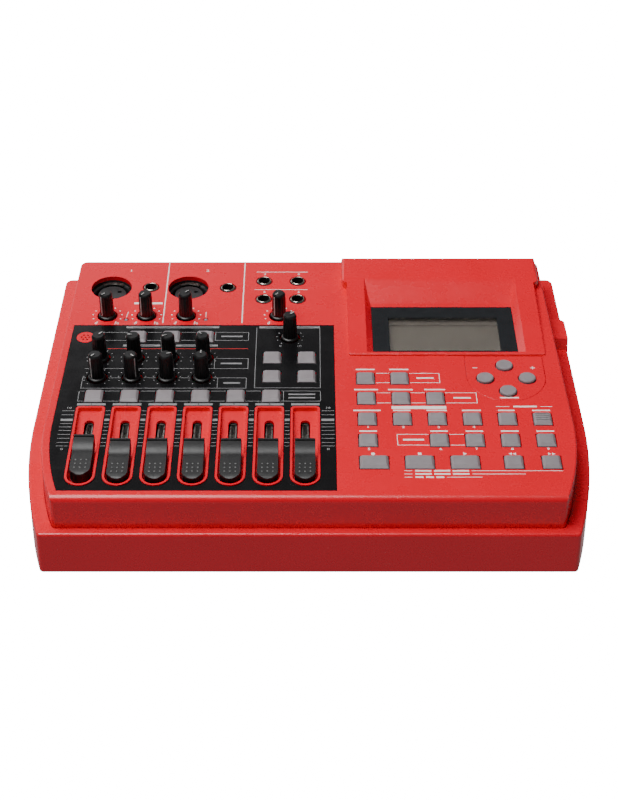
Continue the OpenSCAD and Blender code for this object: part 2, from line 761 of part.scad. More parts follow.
module bottom_cover() {
    bay_x0 = bay_x - bay_w / 2;
    bay_y0 = bay_y - bay_l / 2;
    color(red) difference() {
        union() {
            translate([0, 0, foot_h]) linear_extrude(height = plate_t)
                polygon(case_outline(plinth, cover_lip + cover_gap));
            translate([bay_x0 - bay_wall, bay_y0 - bay_wall, foot_h])
                cube([bay_w + 2 * bay_wall, bay_l + 2 * bay_wall, plate_t + bay_h + bay_wall]);
            for (p = pillars) translate([p[0], p[1], foot_h])
                cylinder(r = pillar_r, h = main_z - foot_h, $fn = round_fine);
        }
        // Inside of the battery bay, and the rebate that the door lies in
        translate([bay_x0, bay_y0, foot_h - past]) cube([bay_w, bay_l, plate_t + bay_h + past]);
        translate([bay_x0 - door_rim, bay_y0 - door_rim - door_slide, foot_h - past])
            cube([bay_w + 2 * door_rim, bay_l + door_rim + door_slide, door_t + door_gap + past]);
        // Slots that the door's tongues run into
        for (s = [-1, 1])
            translate([bay_x + s * door_tongue_x - door_tongue_w / 2 - door_gap,
                       bay_y0 + bay_l - 1, foot_h + door_t + door_gap])
                cube([door_tongue_w + 2 * door_gap, door_tongue_l + 1 + door_gap, 2 + 2 * door_gap]);
        // Holes and counterbores for the screws
        for (p = columns) {
            translate([p[0], p[1], foot_h - past])
                cylinder(r = screw_r + 0.4, h = plate_t + 1, $fn = round_fine);
            translate([p[0], p[1], foot_h - past])
                cylinder(r = screw_head_r + 0.3, h = screw_head_t + past, $fn = round_fine);
        }
        for (p = pillars) translate([p[0], p[1], foot_h + 1])
            cylinder(r = screw_r + screw_fit, h = main_z, $fn = round_fine);
        // Seats for the feet
        for (x = [-1, 1]) for (y = [-1, 1])
            translate([x * foot_x, y * foot_y, foot_h - past])
                cylinder(r = foot_d / 2 + 0.2, h = 0.6 + past, $fn = fine);
    }
}

module battery_door() {
    x0 = bay_x - bay_w / 2 - door_rim + door_gap;
    x1 = bay_x + bay_w / 2 + door_rim - door_gap;
    y0 = bay_y - bay_l / 2 - door_rim + door_gap;
    y1 = bay_y + bay_l / 2 - door_gap;
    tongue_z = foot_h + door_t + 2 * door_gap;
    color(red) difference() {
        union() {
            translate([x0, y0, foot_h]) cube([x1 - x0, y1 - y0, door_t]);
            // Tongues that run into the cover's slots when the door slides shut
            for (s = [-1, 1]) translate([bay_x + s * door_tongue_x - door_tongue_w / 2, 0, 0]) {
                translate([0, y1 - 2, foot_h]) cube([door_tongue_w, 1.6, tongue_z + 2 - foot_h]);
                translate([0, y1 - 2, tongue_z])
                    cube([door_tongue_w, 2 + door_gap + door_tongue_l - door_gap, 2]);
            }
        }
        // Grip ridges across the free end
        for (i = [0:4]) translate([bay_x - 12, y0 + 5 + 2.2 * i, foot_h - past])
            cube([24, 1, 0.5 + past]);
    }
}

module rubber_feet() {
    color("#26262a") for (x = [-1, 1]) for (y = [-1, 1])
        translate([x * foot_x, y * foot_y, 0]) rotate_extrude($fn = fine)
            polygon([[0, 0], [foot_d / 2 - 1.2, 0], [foot_d / 2 - 0.4, 0.5],
                     [foot_d / 2, 1.2], [foot_d / 2, foot_h + 0.6], [0, foot_h + 0.6]]);
}

// A pan head screw with its head down and its tip up
module screw() {
    cylinder(r = screw_r, h = screw_len, $fn = round_fine);
    difference() {
        cylinder(r = screw_head_r, h = screw_head_t, $fn = round_fine);
        translate([-2, -0.35, -past]) cube([4, 0.7, 0.7 + past]);
        translate([-0.35, -2, -past]) cube([0.7, 4, 0.7 + past]);
    }
}

module screws() {
    color(metal) {
        for (p = columns) translate([p[0], p[1], foot_h]) screw();
        // Main board screws go down into the cover's pillars
        for (p = pillars) translate([p[0], p[1], main_z + board_t + screw_head_t])
            rotate([180, 0, 0]) screw();
        // Panel board screws go up into the deck's posts
        on_deck() for (p = post_places)
            translate([p[0], p[1], board_h - board_t - screw_head_t]) screw();
    }
}

module main_board() {
    color(board_green) difference() {
        translate([0, 0, main_z]) linear_extrude(height = board_t) polygon([
            [-main_half, main_front_y + 6], [-main_half + 6, main_front_y],
            [main_half - 6, main_front_y], [main_half, main_front_y + 6],
            [main_half, main_rear_y], [main_step_x, main_rear_y],
            [main_step_x, main_split_y], [-main_half, main_split_y]]);
        for (p = pillars) translate([p[0], p[1], main_z - 1])
            cylinder(r = screw_r + 0.25, h = board_t + 2, $fn = round_fine);
        for (p = columns) translate([p[0], p[1], main_z - 1])
            cylinder(r = column_r + 0.8, h = board_t + 2, $fn = round_fine);
    }
    // Processor, memory and the drive chips
    color("#222226") for (c = chips)
        translate([c[0] - c[2] / 2, c[1] - c[3] / 2, main_z + board_t]) cube([c[2], c[3], 2]);
}

module panel_boards() {
    board_w = 2 * (deck_half - board_margin);
    color(board_green) on_deck() {
        difference() {
            deck_box(0, (board_v0 + board_v1) / 2, board_w, board_v1 - board_v0,
                     board_h - board_t, board_h);
            for (p = post_places)
                deck_rod(p[0], p[1], screw_r + 0.25, board_h - board_t - 1, board_h + 1, round_fine);
        }
        translate([left_edge + board_margin + 1, jack_board_v0, jack_board_h - board_t])
            cube([jack_board_u1 - left_edge - board_margin - 1,
                  jack_board_v1 - jack_board_v0, board_t]);
    }
}

// A tact switch under one key
module tact_switch(p) {
    deck_box(p[0], p[1], 6, 6, board_h, board_h + switch_h);
    deck_rod(p[0], p[1], 1.7, board_h + switch_h, board_h + switch_h + plunger_h, 24);
}

module tact_switches() {
    color("#2c2c30") on_deck()
        for (p = concat(square_places, wide_places, cursor_places)) tact_switch(p);
}

// A panel microphone socket: shroud, ring and barrel turned in one. The insert in it is a core
// with the mouths of three contacts, and a collar that holds the core in the barrel.
module microphone_socket() {
    face = -xlr_sink;
    well_r = xlr_d / 2;
    gap_floor = face - 15;
    rotate_extrude($fn = fine) polygon([
        [xlr_shell_r, jack_board_h], [xlr_body_r, jack_board_h], [xlr_body_r, face - 2],
        [well_r + 1.5, face - 2], [well_r + 1.5, -wall], [well_r, -wall], [well_r, face],
        [well_r - xlr_ring_w, face], [xlr_shell_r, face - 1.1]]);
    difference() {
        deck_rod(0, 0, xlr_core_r, jack_board_h, face);
        for (a = [30, 150, 270])
            deck_rod(contact_ring_r * cos(a), contact_ring_r * sin(a), contact_r,
                     face - contact_mouth, face + 1, 24);
    }
    rotate_extrude($fn = fine) polygon([
        [xlr_core_r + insert_fit, jack_board_h], [xlr_shell_r - insert_fit, jack_board_h],
        [xlr_shell_r - insert_fit, gap_floor], [xlr_core_r + insert_fit, gap_floor]]);
}

module microphone_sockets() {
    color("#4a4a4c") on_deck() for (u = xlr_u) translate([u, rear_row_v, 0]) microphone_socket();
}

// A quarter-inch jack: housing under the deck and a bushing through it
module jack_socket() {
    translate([0, 0, jack_proud]) rotate_extrude($fn = fine) polygon([
        [jack_bore_d / 2, -jack_depth], [jack_bore_d / 2 + 1, -jack_depth],
        [jack_bore_d / 2 + 1, -wall - jack_proud - 1], [jack_d / 2, -wall - jack_proud - 1],
        [jack_d / 2, -1.1], [jack_d / 2 - 0.9, 0], [jack_bore_d / 2 + 0.3, 0],
        [jack_bore_d / 2, -0.3]]);
    difference() {
        deck_box(0, 0, jack_body, jack_body, jack_board_h, -wall);
        deck_rod(0, 0, jack_bore_d / 2 + 0.5, jack_proud - jack_depth, 0);
        deck_rod(0, 0, jack_d / 2 - 0.2, -wall - 0.9, 0);
    }
}

module jack_sockets() {
    color(metal) on_deck() for (p = jack_uv) translate([p[0], p[1], 0]) jack_socket();
}

// Slide potentiometer with the slot that its lever runs in
module slide_pot(u) {
    slot_l = fader_travel + lever_l + 1;
    mid = lever_min_v + fader_travel / 2;
    v0 = lever_min_v - slide_pot_front;
    v1 = lever_min_v + fader_travel + slide_pot_rear;
    difference() {
        deck_box(u, (v0 + v1) / 2, slide_pot_w, v1 - v0, board_h, board_h + slide_pot_h);
        deck_box(u, mid, lever_t + 0.8, slot_l, board_h + 1.5, board_h + slide_pot_h + 1);
    }
}

module slide_pots() {
    color(metal) on_deck() for (i = [0:6]) slide_pot(fader_u(i));
}

// Rotary potentiometer with the bushing that its spindle turns in
module rotary_pot(k) {
    difference() {
        union() {
            deck_box(k[0], k[1], pot_w, pot_w, board_h, board_h + pot_h);
            deck_rod(k[0], k[1], bushing_r, board_h + pot_h - 0.1, bushing_top);
        }
        deck_rod(k[0], k[1], spindle_d / 2 + spindle_fit, board_h + 2, bushing_top + 1);
    }
}

module rotary_pots() {
    color(pot_blue) on_deck() for (k = knobs) rotary_pot(k);
}

module built_in_microphone() {
    color(metal) on_deck()
        deck_rod(mic_place[0], mic_place[1], mic_capsule_r, -wall - 4.6, -wall + 0.6);
}

// A lamp on its spacer
module peak_lamps() {
    color("#b3261e") on_deck() for (p = lamp_places) {
        translate([p[0], p[1], -4]) rotate_extrude($fn = round_fine) intersection() {
            translate([0, 4.4 - lamp_r]) circle(r = lamp_r, $fn = round_fine);
            square([lamp_r, 6]);
        }
        deck_rod(p[0], p[1], lamp_r, board_h, -0.85, round_fine);
    }
}

// Height of the rails' top at a place up the slope
function rail_h(v) = hood_low + (hood_rail_h - hood_low) * (v - hood_v0) / (hood_bar_v - hood_v0);

// The space between the hood's sides. Each side is a ruled face from the window's straight
// edge to the rail's straight inner edge, which are parallel in plan, in steps up the slope.
module between_rails(v0, v1) {
    rise = hood_rail_h + window_sink;
    lean = rail_slope / rise;
    up = 2;
    steps = 10;
    ring = function(v) let (w = window_w / 2, t = rail_h(v)) [
        [-w, v, -window_sink], [w, v, -window_sink], [w + rail_slope, v, t],
        [w + rail_slope + lean * up, v, t + up], [-w - rail_slope - lean * up, v, t + up],
        [-w - rail_slope, v, t]];
    points = [for (j = [0:steps]) each ring(v0 + (v1 - v0) * j / steps)];
    faces = concat([[5, 4, 3, 2, 1, 0]], [[for (i = [0:5]) 6 * steps + i]],
        [for (j = [0:steps - 1]) for (i = [0:5]) let (a = 6 * j + i, b = 6 * j + (i + 1) % 6)
            each [[a, b, b + 6], [a, b + 6, a + 6]]]);
    translate([window_u0 + window_w / 2, 0, 0]) polyhedron(points, faces, convexity = 4);
}

// Hollow of the hood: between the rails, and in front of a rear wall that ends below in a cove
module hood_hollow() {
    rise = hood_rail_h + window_sink;
    slope = atan2(rise, hood_bar_v - window_v1 - 0.4);
    cove_v = window_v1 + 0.4 - cove_r * tan(slope / 2);
    cove_h = cove_r - window_sink;
    intersection() {
        between_rails(window_v0 - 5, hood_bar_v + 5);
        rotate([90, 0, 90]) translate([0, 0, hood_u0]) linear_extrude(height = hood_w) polygon(concat(
            [[window_v0, -window_sink]],
            [for (i = [0:6]) let (a = slope * i / 6)
                [cove_v + cove_r * sin(a), cove_h - cove_r * cos(a)]],
            [[hood_bar_v, hood_rail_h], [hood_bar_v + 0.6, hood_high + 2],
             [window_v0, hood_high + 2]]));
    }
}

// Side view of the hood above the deck, as v and h
function hood_profile() =
    let (r = 3.2, bar_h = hood_high - r)
    concat([[hood_v0, 0], [hood_v0, hood_low - 0.5], [hood_v0 + 0.15, hood_low - 0.15],
            [hood_v0 + 0.5, hood_low + 0.02], [hood_bar_v, hood_rail_h], [hood_bar_v + 1.5, hood_high]],
           [for (i = [0:5]) let (a = 90 - 18 * i) [hood_v1 - r + r * cos(a), bar_h + r * sin(a)]],
           [[hood_v1, 0]]);

// One half of the rear bar seen from above, as distances from its middle and places up the
// slope: its front corner is a quarter of an ellipse that runs into the rail's side
function bar_end(out, rail) =
    let (r = 3, v0 = hood_bar_v + 0.3)
    concat([for (i = [0:6]) let (a = 15 * i)
               [rail + (out - rail) * sin(a), v0 - hood_end_l * cos(a)]],
           [for (i = [0:5]) let (a = 18 * i) [out - r + r * cos(a), hood_v1 - r + r * sin(a)]]);

// The bar seen from the front, as distances from its middle and heights
function bar_front_view() =
    let (r = 2.4, half = hood_bar_w / 2,
         side = [for (i = [0:4]) let (a = 22.5 * i)
                    [half - r + r * cos(a), hood_high + 0.01 - r + r * sin(a)]])
    concat([[-half, 0], [half, 0]], side, [for (i = [4:-1:0]) [-side[i][0], side[i][1]]]);

module display_hood() {
    color(red) on_deck() difference() {
        union() {
            // Rails and front edge
            intersection() {
                rotate([90, 0, 90]) translate([0, 0, hood_u0]) linear_extrude(height = hood_w)
                    polygon(hood_profile());
                translate([hood_mid, (hood_v0 + hood_v1) / 2, 0]) linear_extrude(height = hood_high + 1)
                    rounded_square(hood_w, hood_len, hood_corner_r);
            }
            // Bar across the rear, wider than the rails, with its ends rounded over
            intersection() {
                rotate([90, 0, 0]) translate([hood_bar_mid, 0, -hood_v1 - 1])
                    linear_extrude(height = hood_len) polygon(bar_front_view());
                rotate([90, 0, 90]) translate([0, 0, hood_bar_mid - hood_bar_w / 2])
                    linear_extrude(height = hood_bar_w) polygon(hood_profile());
                linear_extrude(height = hood_high + 1) for (s = [-1, 1]) {
                    rail = s < 0 ? hood_bar_mid - hood_u0 : hood_u1 - hood_bar_mid;
                    polygon([for (p = concat([[0, hood_bar_v - hood_end_l]], bar_end(hood_bar_w / 2, rail),
                                             [[0, hood_v1]]))
                        [hood_bar_mid + s * p[0], p[1]]]);
                }
            }
            // Tray through the deck's opening
            translate([tray_u0, tray_v0, -tray_under])
                cube([tray_u1 - tray_u0, tray_v1 - tray_v0, tray_under + 0.2]);
        }
        hood_hollow();
        // Seat and opening of the window
        translate([window_u0 - 0.1, window_v0 - 0.1, -window_sink - window_t])
            cube([window_w + 0.2, window_l + 0.2, window_t + 0.02]);
        translate([window_u0 + 2, window_v0 + 2, -tray_under - 1])
            cube([window_w - 4, window_l - 4, 5]);
        // The tray is open under the sloping rear wall
        rotate([90, 0, 90]) translate([0, 0, tray_u0 + tray_wall])
            linear_extrude(height = tray_u1 - tray_u0 - 2 * tray_wall) polygon([
                [window_v1 + 3, -tray_under - 1], [tray_v1 - 2, -tray_under - 1],
                [tray_v1 - 2, 1.2], [window_v1 + 3, -window_sink - 2.2]]);
    }
}

module display_window() {
    color("#2b3033") on_deck()
        translate([window_u0, window_v0, -window_sink - window_t]) cube([window_w, window_l, window_t]);
}

// Display module: metal frame, glass and legs down to the board
module lcd_module() {
    u0 = window_u0 - 2;
    v0 = window_v0 - 1;
    w = window_w + 4;
    l = window_l + 2;
    color("#6f7263") on_deck() {
        difference() {
            translate([u0, v0, -tray_under - lcd_t]) cube([w, l, lcd_t]);
            translate([window_u0 + 8, window_v0 + 1, -tray_under - 0.8])
                cube([window_w - 16, 31.5, 2]);
        }
        for (x = [u0 + 4, u0 + w - 4]) for (y = [v0 + 4, v0 + l - 6])
            deck_rod(x, y, 2, board_h, -tray_under - lcd_t + 0.1, round_fine);
    }
}

module cursor_bezel() {
    color(red) on_deck() difference() {
        translate([0, 0, -bezel_t]) linear_extrude(height = bezel_t) bezel_plan(bezel_gap);
        cursor_cuts(-wall, 2);
    }
}

// Card socket on the main board, open towards the right wall
module card_socket() {
    x1 = plinth_half - wall - 2.5;
    z0 = main_z + board_t;
    color("#3a3a3e") difference() {
        translate([x1 - card_socket_l, card_y - card_socket_w / 2, z0])
            cube([card_socket_l, card_socket_w, card_socket_h]);
        translate([x1 - card_socket_l + 2, card_y - card_slot_w / 2, card_slot_z])
            cube([card_socket_l, card_slot_w, card_slot_h]);
    }
}

// Rear sockets on the edge of the main board, and the bodies of the two slide switches
module rear_sockets() {
    face = socket_face_y - 0.4;
    y0 = face - socket_depth;
    inner = socket_face_y - wall;
    color("#2c2c30") {
        // Power inlet with its centre pin
        difference() {
            union() {
                translate([dc_x - 4.5, y0, socket_z]) cube([9, inner - y0, 10]);
                translate([dc_x, y0, socket_z + 5]) rotate([-90, 0, 0])
                    cylinder(r = 3.9, h = socket_depth, $fn = fine);
            }
            translate([dc_x, face - 9, socket_z + 5]) rotate([-90, 0, 0])
                cylinder(r = dc_r, h = 10, $fn = fine);
        }
        translate([dc_x, face - 9, socket_z + 5]) rotate([-90, 0, 0])
            cylinder(r = 1, h = 8.5, $fn = 24);
        // Square computer port with its tongue
        difference() {
            translate([usb_x - 6, y0, socket_z]) cube([12, socket_depth, 10.8]);
            translate([usb_x - 4.2, face - 8, socket_z + 1.4]) cube([8.4, 9, 7.8]);
        }
        translate([usb_x - 2.8, face - 8, socket_z + 3.7]) cube([5.6, 7, 3.2]);
        // Optical socket with its shutter closed
        difference() {
            translate([optical_x - 5, y0, socket_z]) cube([10, socket_depth, 10]);
            translate([optical_x - 3.8, face - 0.8, socket_z + 1.4]) cube([7.6, 2, 7]);
        }
        // Foot switch jack
        difference() {
            union() {
                translate([foot_jack_x - 6.5, y0 - 8, socket_z]) cube([13, inner - y0 + 8, 13]);
                translate([foot_jack_x, y0, socket_z + 6.5]) rotate([-90, 0, 0])
                    cylinder(r = 4.65, h = socket_depth, $fn = fine);
            }
            translate([foot_jack_x, face - 21, socket_z + 6.5]) rotate([-90, 0, 0])
                cylinder(r = jack_bore_d / 2, h = 22, $fn = fine);
        }
        // Body of the power switch
        difference() {
            translate([power_x - 8, inner - 8, socket_z]) cube([16, 8, 10]);
            translate([power_x - power_travel / 2 - 2.6, inner - 4, socket_z + 2.7])
                cube([power_travel + 5.2, 5, 4.6]);
        }
        // Body of the input select switch, against the deck's rear wall
        difference() {
            translate([select_u - 8, deck_rear_y - wall - 6, select_z - 3.5]) cube([16, 6, 7]);
            translate([select_u - select_travel / 2 - 2.4, deck_rear_y - wall - 3, select_z - 1.9])
                cube([select_travel + 4.8, 4, 3.8]);
        }
    }
}

// Sliding buttons of the two switches, each at one end of its travel
module power_switch() {
    x = power_x - power_travel / 2;
    y0 = socket_face_y - wall - 3.7;
    color("#2c2c30") difference() {
        translate([x - 2.2, y0, socket_z + 3.05]) cube([4.4, socket_face_y + 1.8 - y0, 3.9]);
        for (s = [-1, 0, 1]) translate([x + s * 1.2 - 0.25, socket_face_y + 1.4, socket_z + 3])
            cube([0.5, 1, 4]);
    }
}

module input_select_switch() {
    x = select_u - select_travel / 2;
    y0 = deck_rear_y - wall - 2.7;
    color("#2c2c30") difference() {
        translate([x - 2.05, y0, select_z - 1.55]) cube([4.1, deck_rear_y + 1.8 - y0, 3.1]);
        for (s = [-1, 0, 1]) translate([x + s * 1.1 - 0.25, deck_rear_y + 1.4, select_z - 2])
            cube([0.5, 1, 4]);
    }
}

// Side view of a fader cap about its lever, as v and h: high rear edge, scoop, dotted pad
function cap_profile() =
    let (rear = cap_len / 2 + 0.1, front = -cap_len / 2 + 0.1, pad = 2.9)
    concat([[front + 0.3, -4.0], [rear, -1.1], [rear, cap_high - 0.3], [rear - 0.3, cap_high],
            [rear - 1.2, cap_high], [rear - 1.5, cap_high - 0.9], [rear - 3.6, cap_high - 1.0]],
           [for (i = [0:5]) let (a = i * 15)
               [rear - 3.6 - 6.4 * sin(a), pad + (cap_high - 1.0 - pad) * cos(a * 1.2)]],
           [[rear - 11.5, pad], [front + 3, pad], [front + 0.9, pad - 0.2],
            [front, pad - 0.8]]);

// A fader: its cap and the metal lever under it, place being the lever's v
module fader(i, place) {
    front_r = cap_w / 2 + 0.2;
    color(knob_black) on_deck() translate([fader_u(i), place, 0]) difference() {
        intersection() {
            rotate([90, 0, 90]) translate([0, 0, -cap_w / 2]) linear_extrude(height = cap_w)
                polygon(cap_profile());
            translate([0, 0, -8]) linear_extrude(height = 20) union() {
                translate([0, -cap_len / 2 + 0.1 + front_r]) circle(r = front_r, $fn = 64);
                translate([-cap_w / 2, -cap_len / 2 + front_r])
                    square([cap_w, cap_len - front_r + 0.1]);
            }
        }
        deck_box(0, 0, lever_t + 2 * lever_fit, lever_l + 2 * lever_fit, -8, 1.5);
    }
    color(metal) on_deck()
        deck_box(fader_u(i), place, lever_t, lever_l, lever_low, 1.5 - lever_fit);
}

// Outline of a fluted bar
function fluted(r) = [for (i = [0:flutes * 6 - 1])
    let (a = i * 60 / flutes, w = cos(i * 60))
    (r - flute_depth * (0.5 + 0.5 * w)) * [cos(a), sin(a)]];

// A knob on its spindle, with a pointer line over the top and down the side
module knob(k) {
    foot_r = knob_d / 2;
    top_r = foot_r - 0.3;
    skirt_r = knob_skirt_d / 2;
    on_deck() translate([k[0], k[1], 0]) rotate([0, 0, -k[2]]) {
        color(knob_black) difference() {
            union() {
                intersection() {
                    rotate_extrude($fn = 64) polygon([
                        [0, -1], [foot_r, -1], [foot_r, 1.5], [top_r, knob_h - 0.9],
                        [top_r - 0.7, knob_h], [0, knob_h]]);
                    linear_extrude(height = 2 * knob_h, center = true) polygon(fluted(foot_r));
                }
                rotate_extrude($fn = fine) polygon([
                    [0, -1.2], [skirt_r - 0.3, -1.2], [skirt_r, -0.9], [skirt_r, 0.6],
                    [skirt_r - 0.3, 0.9], [foot_r, 1.2], [0, 1.2]]);
                // Pointer line
                translate([-0.4, top_r * 0.1, knob_h - 1.2])
                    cube([0.8, top_r * 0.9 - 0.55, 1.5]);
                translate([-0.4, top_r - 1, 1]) cube([0.8, 1.15, knob_h - 2.1]);
            }
            deck_rod(0, 0, spindle_d / 2 + 0.02, -2, knob_h - 3);
        }
        color(metal) deck_rod(0, 0, spindle_d / 2, board_h + 2.6, knob_h - 3.2);
    }
}

// A square key: cap with bevelled edges, collar under the deck and stem down to its switch
module square_key(p, w) {
    collar_top = -wall - collar_gap;
    side = 1.2;
    low = 0.15;
    translate([p[0], p[1], 0]) {
        intersection() {
            rotate([90, 0, 90]) translate([0, 0, -w / 2]) linear_extrude(height = w) polygon([
                [-key_l / 2, collar_top - 0.1], [key_l / 2, collar_top - 0.1], [key_l / 2, low],
                [key_l / 2 - 0.5, key_h], [-key_l / 2 + 1.9, key_h], [-key_l / 2, low]]);
            rotate([90, 0, 0]) translate([0, 0, -key_l]) linear_extrude(height = 2 * key_l) polygon([
                [-w / 2, -10], [w / 2, -10], [w / 2, low],
                [w / 2 - side, key_h], [-w / 2 + side, key_h], [-w / 2, low]]);
        }
        deck_box(0, 0, w + 2 * (key_gap + collar_w), key_l + 2 * (key_gap + collar_w),
                 collar_top - collar_t, collar_top);
        deck_rod(0, 0, stem_r, stem_low, collar_top - collar_t + 0.1, 24);
    }
}

// The same with ribs across its top
module ribbed_key(p, w) {
    difference() {
        square_key(p, w);
        for (i = [-1:2]) deck_box(p[0], p[1] + i * 1.6, w + 1, 0.7, key_h - 0.4, key_h + 1);
    }
}

// A round cursor key with its collar and stem
module round_key(p) {
    r = round_key_d / 2;
    collar_top = -wall - collar_gap;
    translate([p[0], p[1], 0]) rotate_extrude($fn = fine) polygon([
        [0, stem_low], [stem_r, stem_low], [stem_r, collar_top - collar_t],
        [r + key_gap + collar_w, collar_top - collar_t], [r + key_gap + collar_w, collar_top],
        [r, collar_top], [r, key_h - 0.5], [r - 0.5, key_h], [0, key_h]]);
}

module key_group(places) {
    color(key_grey) on_deck() for (p = places) square_key(p, key_w);
}

module wide_key(i) {
    color(key_grey) on_deck() square_key(wide_places[i], wide_key_w);
}

module wind_key(i) {
    color(key_grey) on_deck() square_key(wind_places[i], key_w);
}

module cursor_key(i) {
    color(key_grey) on_deck() round_key(cursor_places[i]);
}

module menu_keys() {
    color(key_grey) on_deck() {
        for (i = [0:4]) square_key(menu_places[i], key_w);
        ribbed_key(menu_places[5], key_w);
    }
}

module mixer_panel() {
    color("#26282a") difference() {
        panel_block(0.1, -panel_t, 0);
        on_deck() {
            for (i = [0:6]) translate([fader_u(i), 0, -panel_t - 1])
                linear_extrude(height = panel_t + 2) well_plan(-0.1);
            key_cuts(-panel_t - 1, 1);
            knob_cuts(-panel_t - 1, 1);
            deck_rod(mic_place[0], mic_place[1], mic_r + 0.1, -panel_t - 1, 1);
        }
    }
}

lower_case();
upper_case();
bottom_cover();
mixer_panel();
display_hood();
display_window();
lcd_module();
cursor_bezel();
rubber_feet();
screws();
main_board();
panel_boards();
tact_switches();
microphone_sockets();
jack_sockets();
slide_pots();
rotary_pots();
built_in_microphone();
peak_lamps();
card_socket();
rear_sockets();
battery_door();
power_switch();
input_select_switch();
fader(0, lever_min_v + fader_raised);  // fader_1
fader(1, lever_min_v);  // fader_2
fader(2, lever_min_v);  // fader_3
fader(3, lever_min_v);  // fader_4
fader(4, lever_min_v);  // fader_5
fader(5, lever_min_v);  // fader_6
fader(6, lever_min_v);  // fader_7
knob(knobs[0]);  // trim_a_knob
knob(knobs[1]);  // gain_knob
knob(knobs[2]);  // trim_b_knob
knob(knobs[3]);  // phones_knob
knob(knobs[4]);  // effect_time_knob
knob(knobs[5]);  // send_1_knob
knob(knobs[6]);  // send_2_knob
knob(knobs[7]);  // send_3_knob
knob(knobs[8]);  // send_4_knob
knob(knobs[9]);  // pan_1_knob
knob(knobs[10]);  // pan_2_knob
knob(knobs[11]);  // pan_3_knob
knob(knobs[12]);  // pan_4_knob
wide_key(0);  // record_key
wide_key(1);  // stop_key
wide_key(2);  // play_key
wind_key(0);  // rewind_key
wind_key(1);  // forward_key
cursor_key(0);  // cursor_up_key
cursor_key(1);  // cursor_left_key
cursor_key(2);  // cursor_right_key
cursor_key(3);  // cursor_down_key
key_group(input_a_places);  // input_a_keys
key_group(record_select_places);  // record_select_keys
key_group(effect_places);  // effect_keys
key_group(bounce_places);  // bounce_keys
key_group(mastering_places);  // mastering_keys
menu_keys();
key_group(number_places);  // number_keys
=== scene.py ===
import math
from collections import namedtuple

import bmesh
import bpy
from mathutils import Matrix, Vector


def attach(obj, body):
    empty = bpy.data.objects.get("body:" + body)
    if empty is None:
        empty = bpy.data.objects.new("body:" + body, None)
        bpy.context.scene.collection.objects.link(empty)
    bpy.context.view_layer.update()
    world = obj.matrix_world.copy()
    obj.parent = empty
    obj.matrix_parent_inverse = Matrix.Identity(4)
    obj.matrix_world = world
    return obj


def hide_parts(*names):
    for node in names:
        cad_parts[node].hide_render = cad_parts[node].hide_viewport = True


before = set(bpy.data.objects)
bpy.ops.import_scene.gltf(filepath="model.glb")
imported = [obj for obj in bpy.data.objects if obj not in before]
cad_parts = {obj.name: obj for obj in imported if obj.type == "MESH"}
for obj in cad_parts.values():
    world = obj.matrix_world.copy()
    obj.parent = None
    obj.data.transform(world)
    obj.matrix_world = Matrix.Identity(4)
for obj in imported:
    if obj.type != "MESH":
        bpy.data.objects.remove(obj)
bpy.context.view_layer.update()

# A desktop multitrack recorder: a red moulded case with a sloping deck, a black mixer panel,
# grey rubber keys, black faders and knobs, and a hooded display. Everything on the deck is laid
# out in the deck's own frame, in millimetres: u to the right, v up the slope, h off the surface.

MM = 0.001

# The deck slopes up to the rear from its front edge.
DECK_TILT = math.radians(7)
DECK_FRONT_Y = -102.07
DECK_FRONT_Z = 43.0415
DECK = (Matrix.Translation((0, DECK_FRONT_Y * MM, DECK_FRONT_Z * MM))
        @ Matrix.Rotation(DECK_TILT, 4, "X") @ Matrix.Scale(MM, 4))
TO_DECK = DECK.inverted()
# A reshaped CAD mesh is in its place already.
AS_BUILT = Matrix.Identity(4)

# Places of the controls on the deck. The first fader rests 3 mm further up than the others.
CHANNEL_PITCH = 18.3
KEY_PITCH = 17.8
FADER_U = [-111.7 + CHANNEL_PITCH * i for i in range(7)]
FADER_V = [25.5] + [22.5] * 6
COLUMN_U = [-111.1 + CHANNEL_PITCH * i for i in range(7)]
KEY_U = [29.6 + KEY_PITCH * i for i in range(6)]
MIC_SOCKETS = [(-111.2, 176.7), (-67.9, 176.7)]
MIC_SINK = 4.4
# Each knob's u and v, and the degrees that its pointer is turned clockwise from up the slope
KNOBS = {
    "trim_a_knob": (-111.0, 149.3, -140), "gain_knob": (-89.5, 149.3, -140),
    "trim_b_knob": (-67.7, 149.3, 45), "phones_knob": (-16.5, 149.3, -140),
    "effect_time_knob": (-10.3, 128.9, 50),
    "send_1_knob": (-111.1, 110.2, 40), "send_2_knob": (-92.8, 110.2, -85),
    "send_3_knob": (-74.5, 110.2, -110), "send_4_knob": (-56.2, 110.2, -40),
    "pan_1_knob": (-111.1, 93.2, -140), "pan_2_knob": (-92.8, 93.2, 140),
    "pan_3_knob": (-74.5, 93.2, 75), "pan_4_knob": (-56.2, 93.2, 0),
}
KNOB_HIGH = 15.3


# Materials. Each starts from typical values for the real one, set to how it looks here.

# A material in the making: its node tree, its shader, and the object's own coordinates
Finish = namedtuple("Finish", "material tree shader place")

# Sockets of the colour mix node, which share their names with its other kinds' sockets
MIX_AMOUNT, MIX_UNDER, MIX_OVER, MIX_RESULT = 0, 6, 7, 2


def srgb(hex_colour):
    """An sRGB hex colour as the linear values that a shader takes."""
    parts = [int(hex_colour[i:i + 2], 16) / 255 for i in (1, 3, 5)]
    return [p / 12.92 if p <= 0.04045 else ((p + 0.055) / 1.055) ** 2.4 for p in parts] + [1.0]


def add(tree, kind, settings=None, links=None):
    """A node of this kind with its settings, and its inputs linked from other nodes' outputs."""
    made = tree.nodes.new(kind)
    for key, value in (settings or {}).items():
        if isinstance(key, str) and hasattr(made, key):
            setattr(made, key, value)
        else:
            made.inputs[key].default_value = value
    for key, source in (links or {}).items():
        tree.links.new(source, made.inputs[key])
    return made


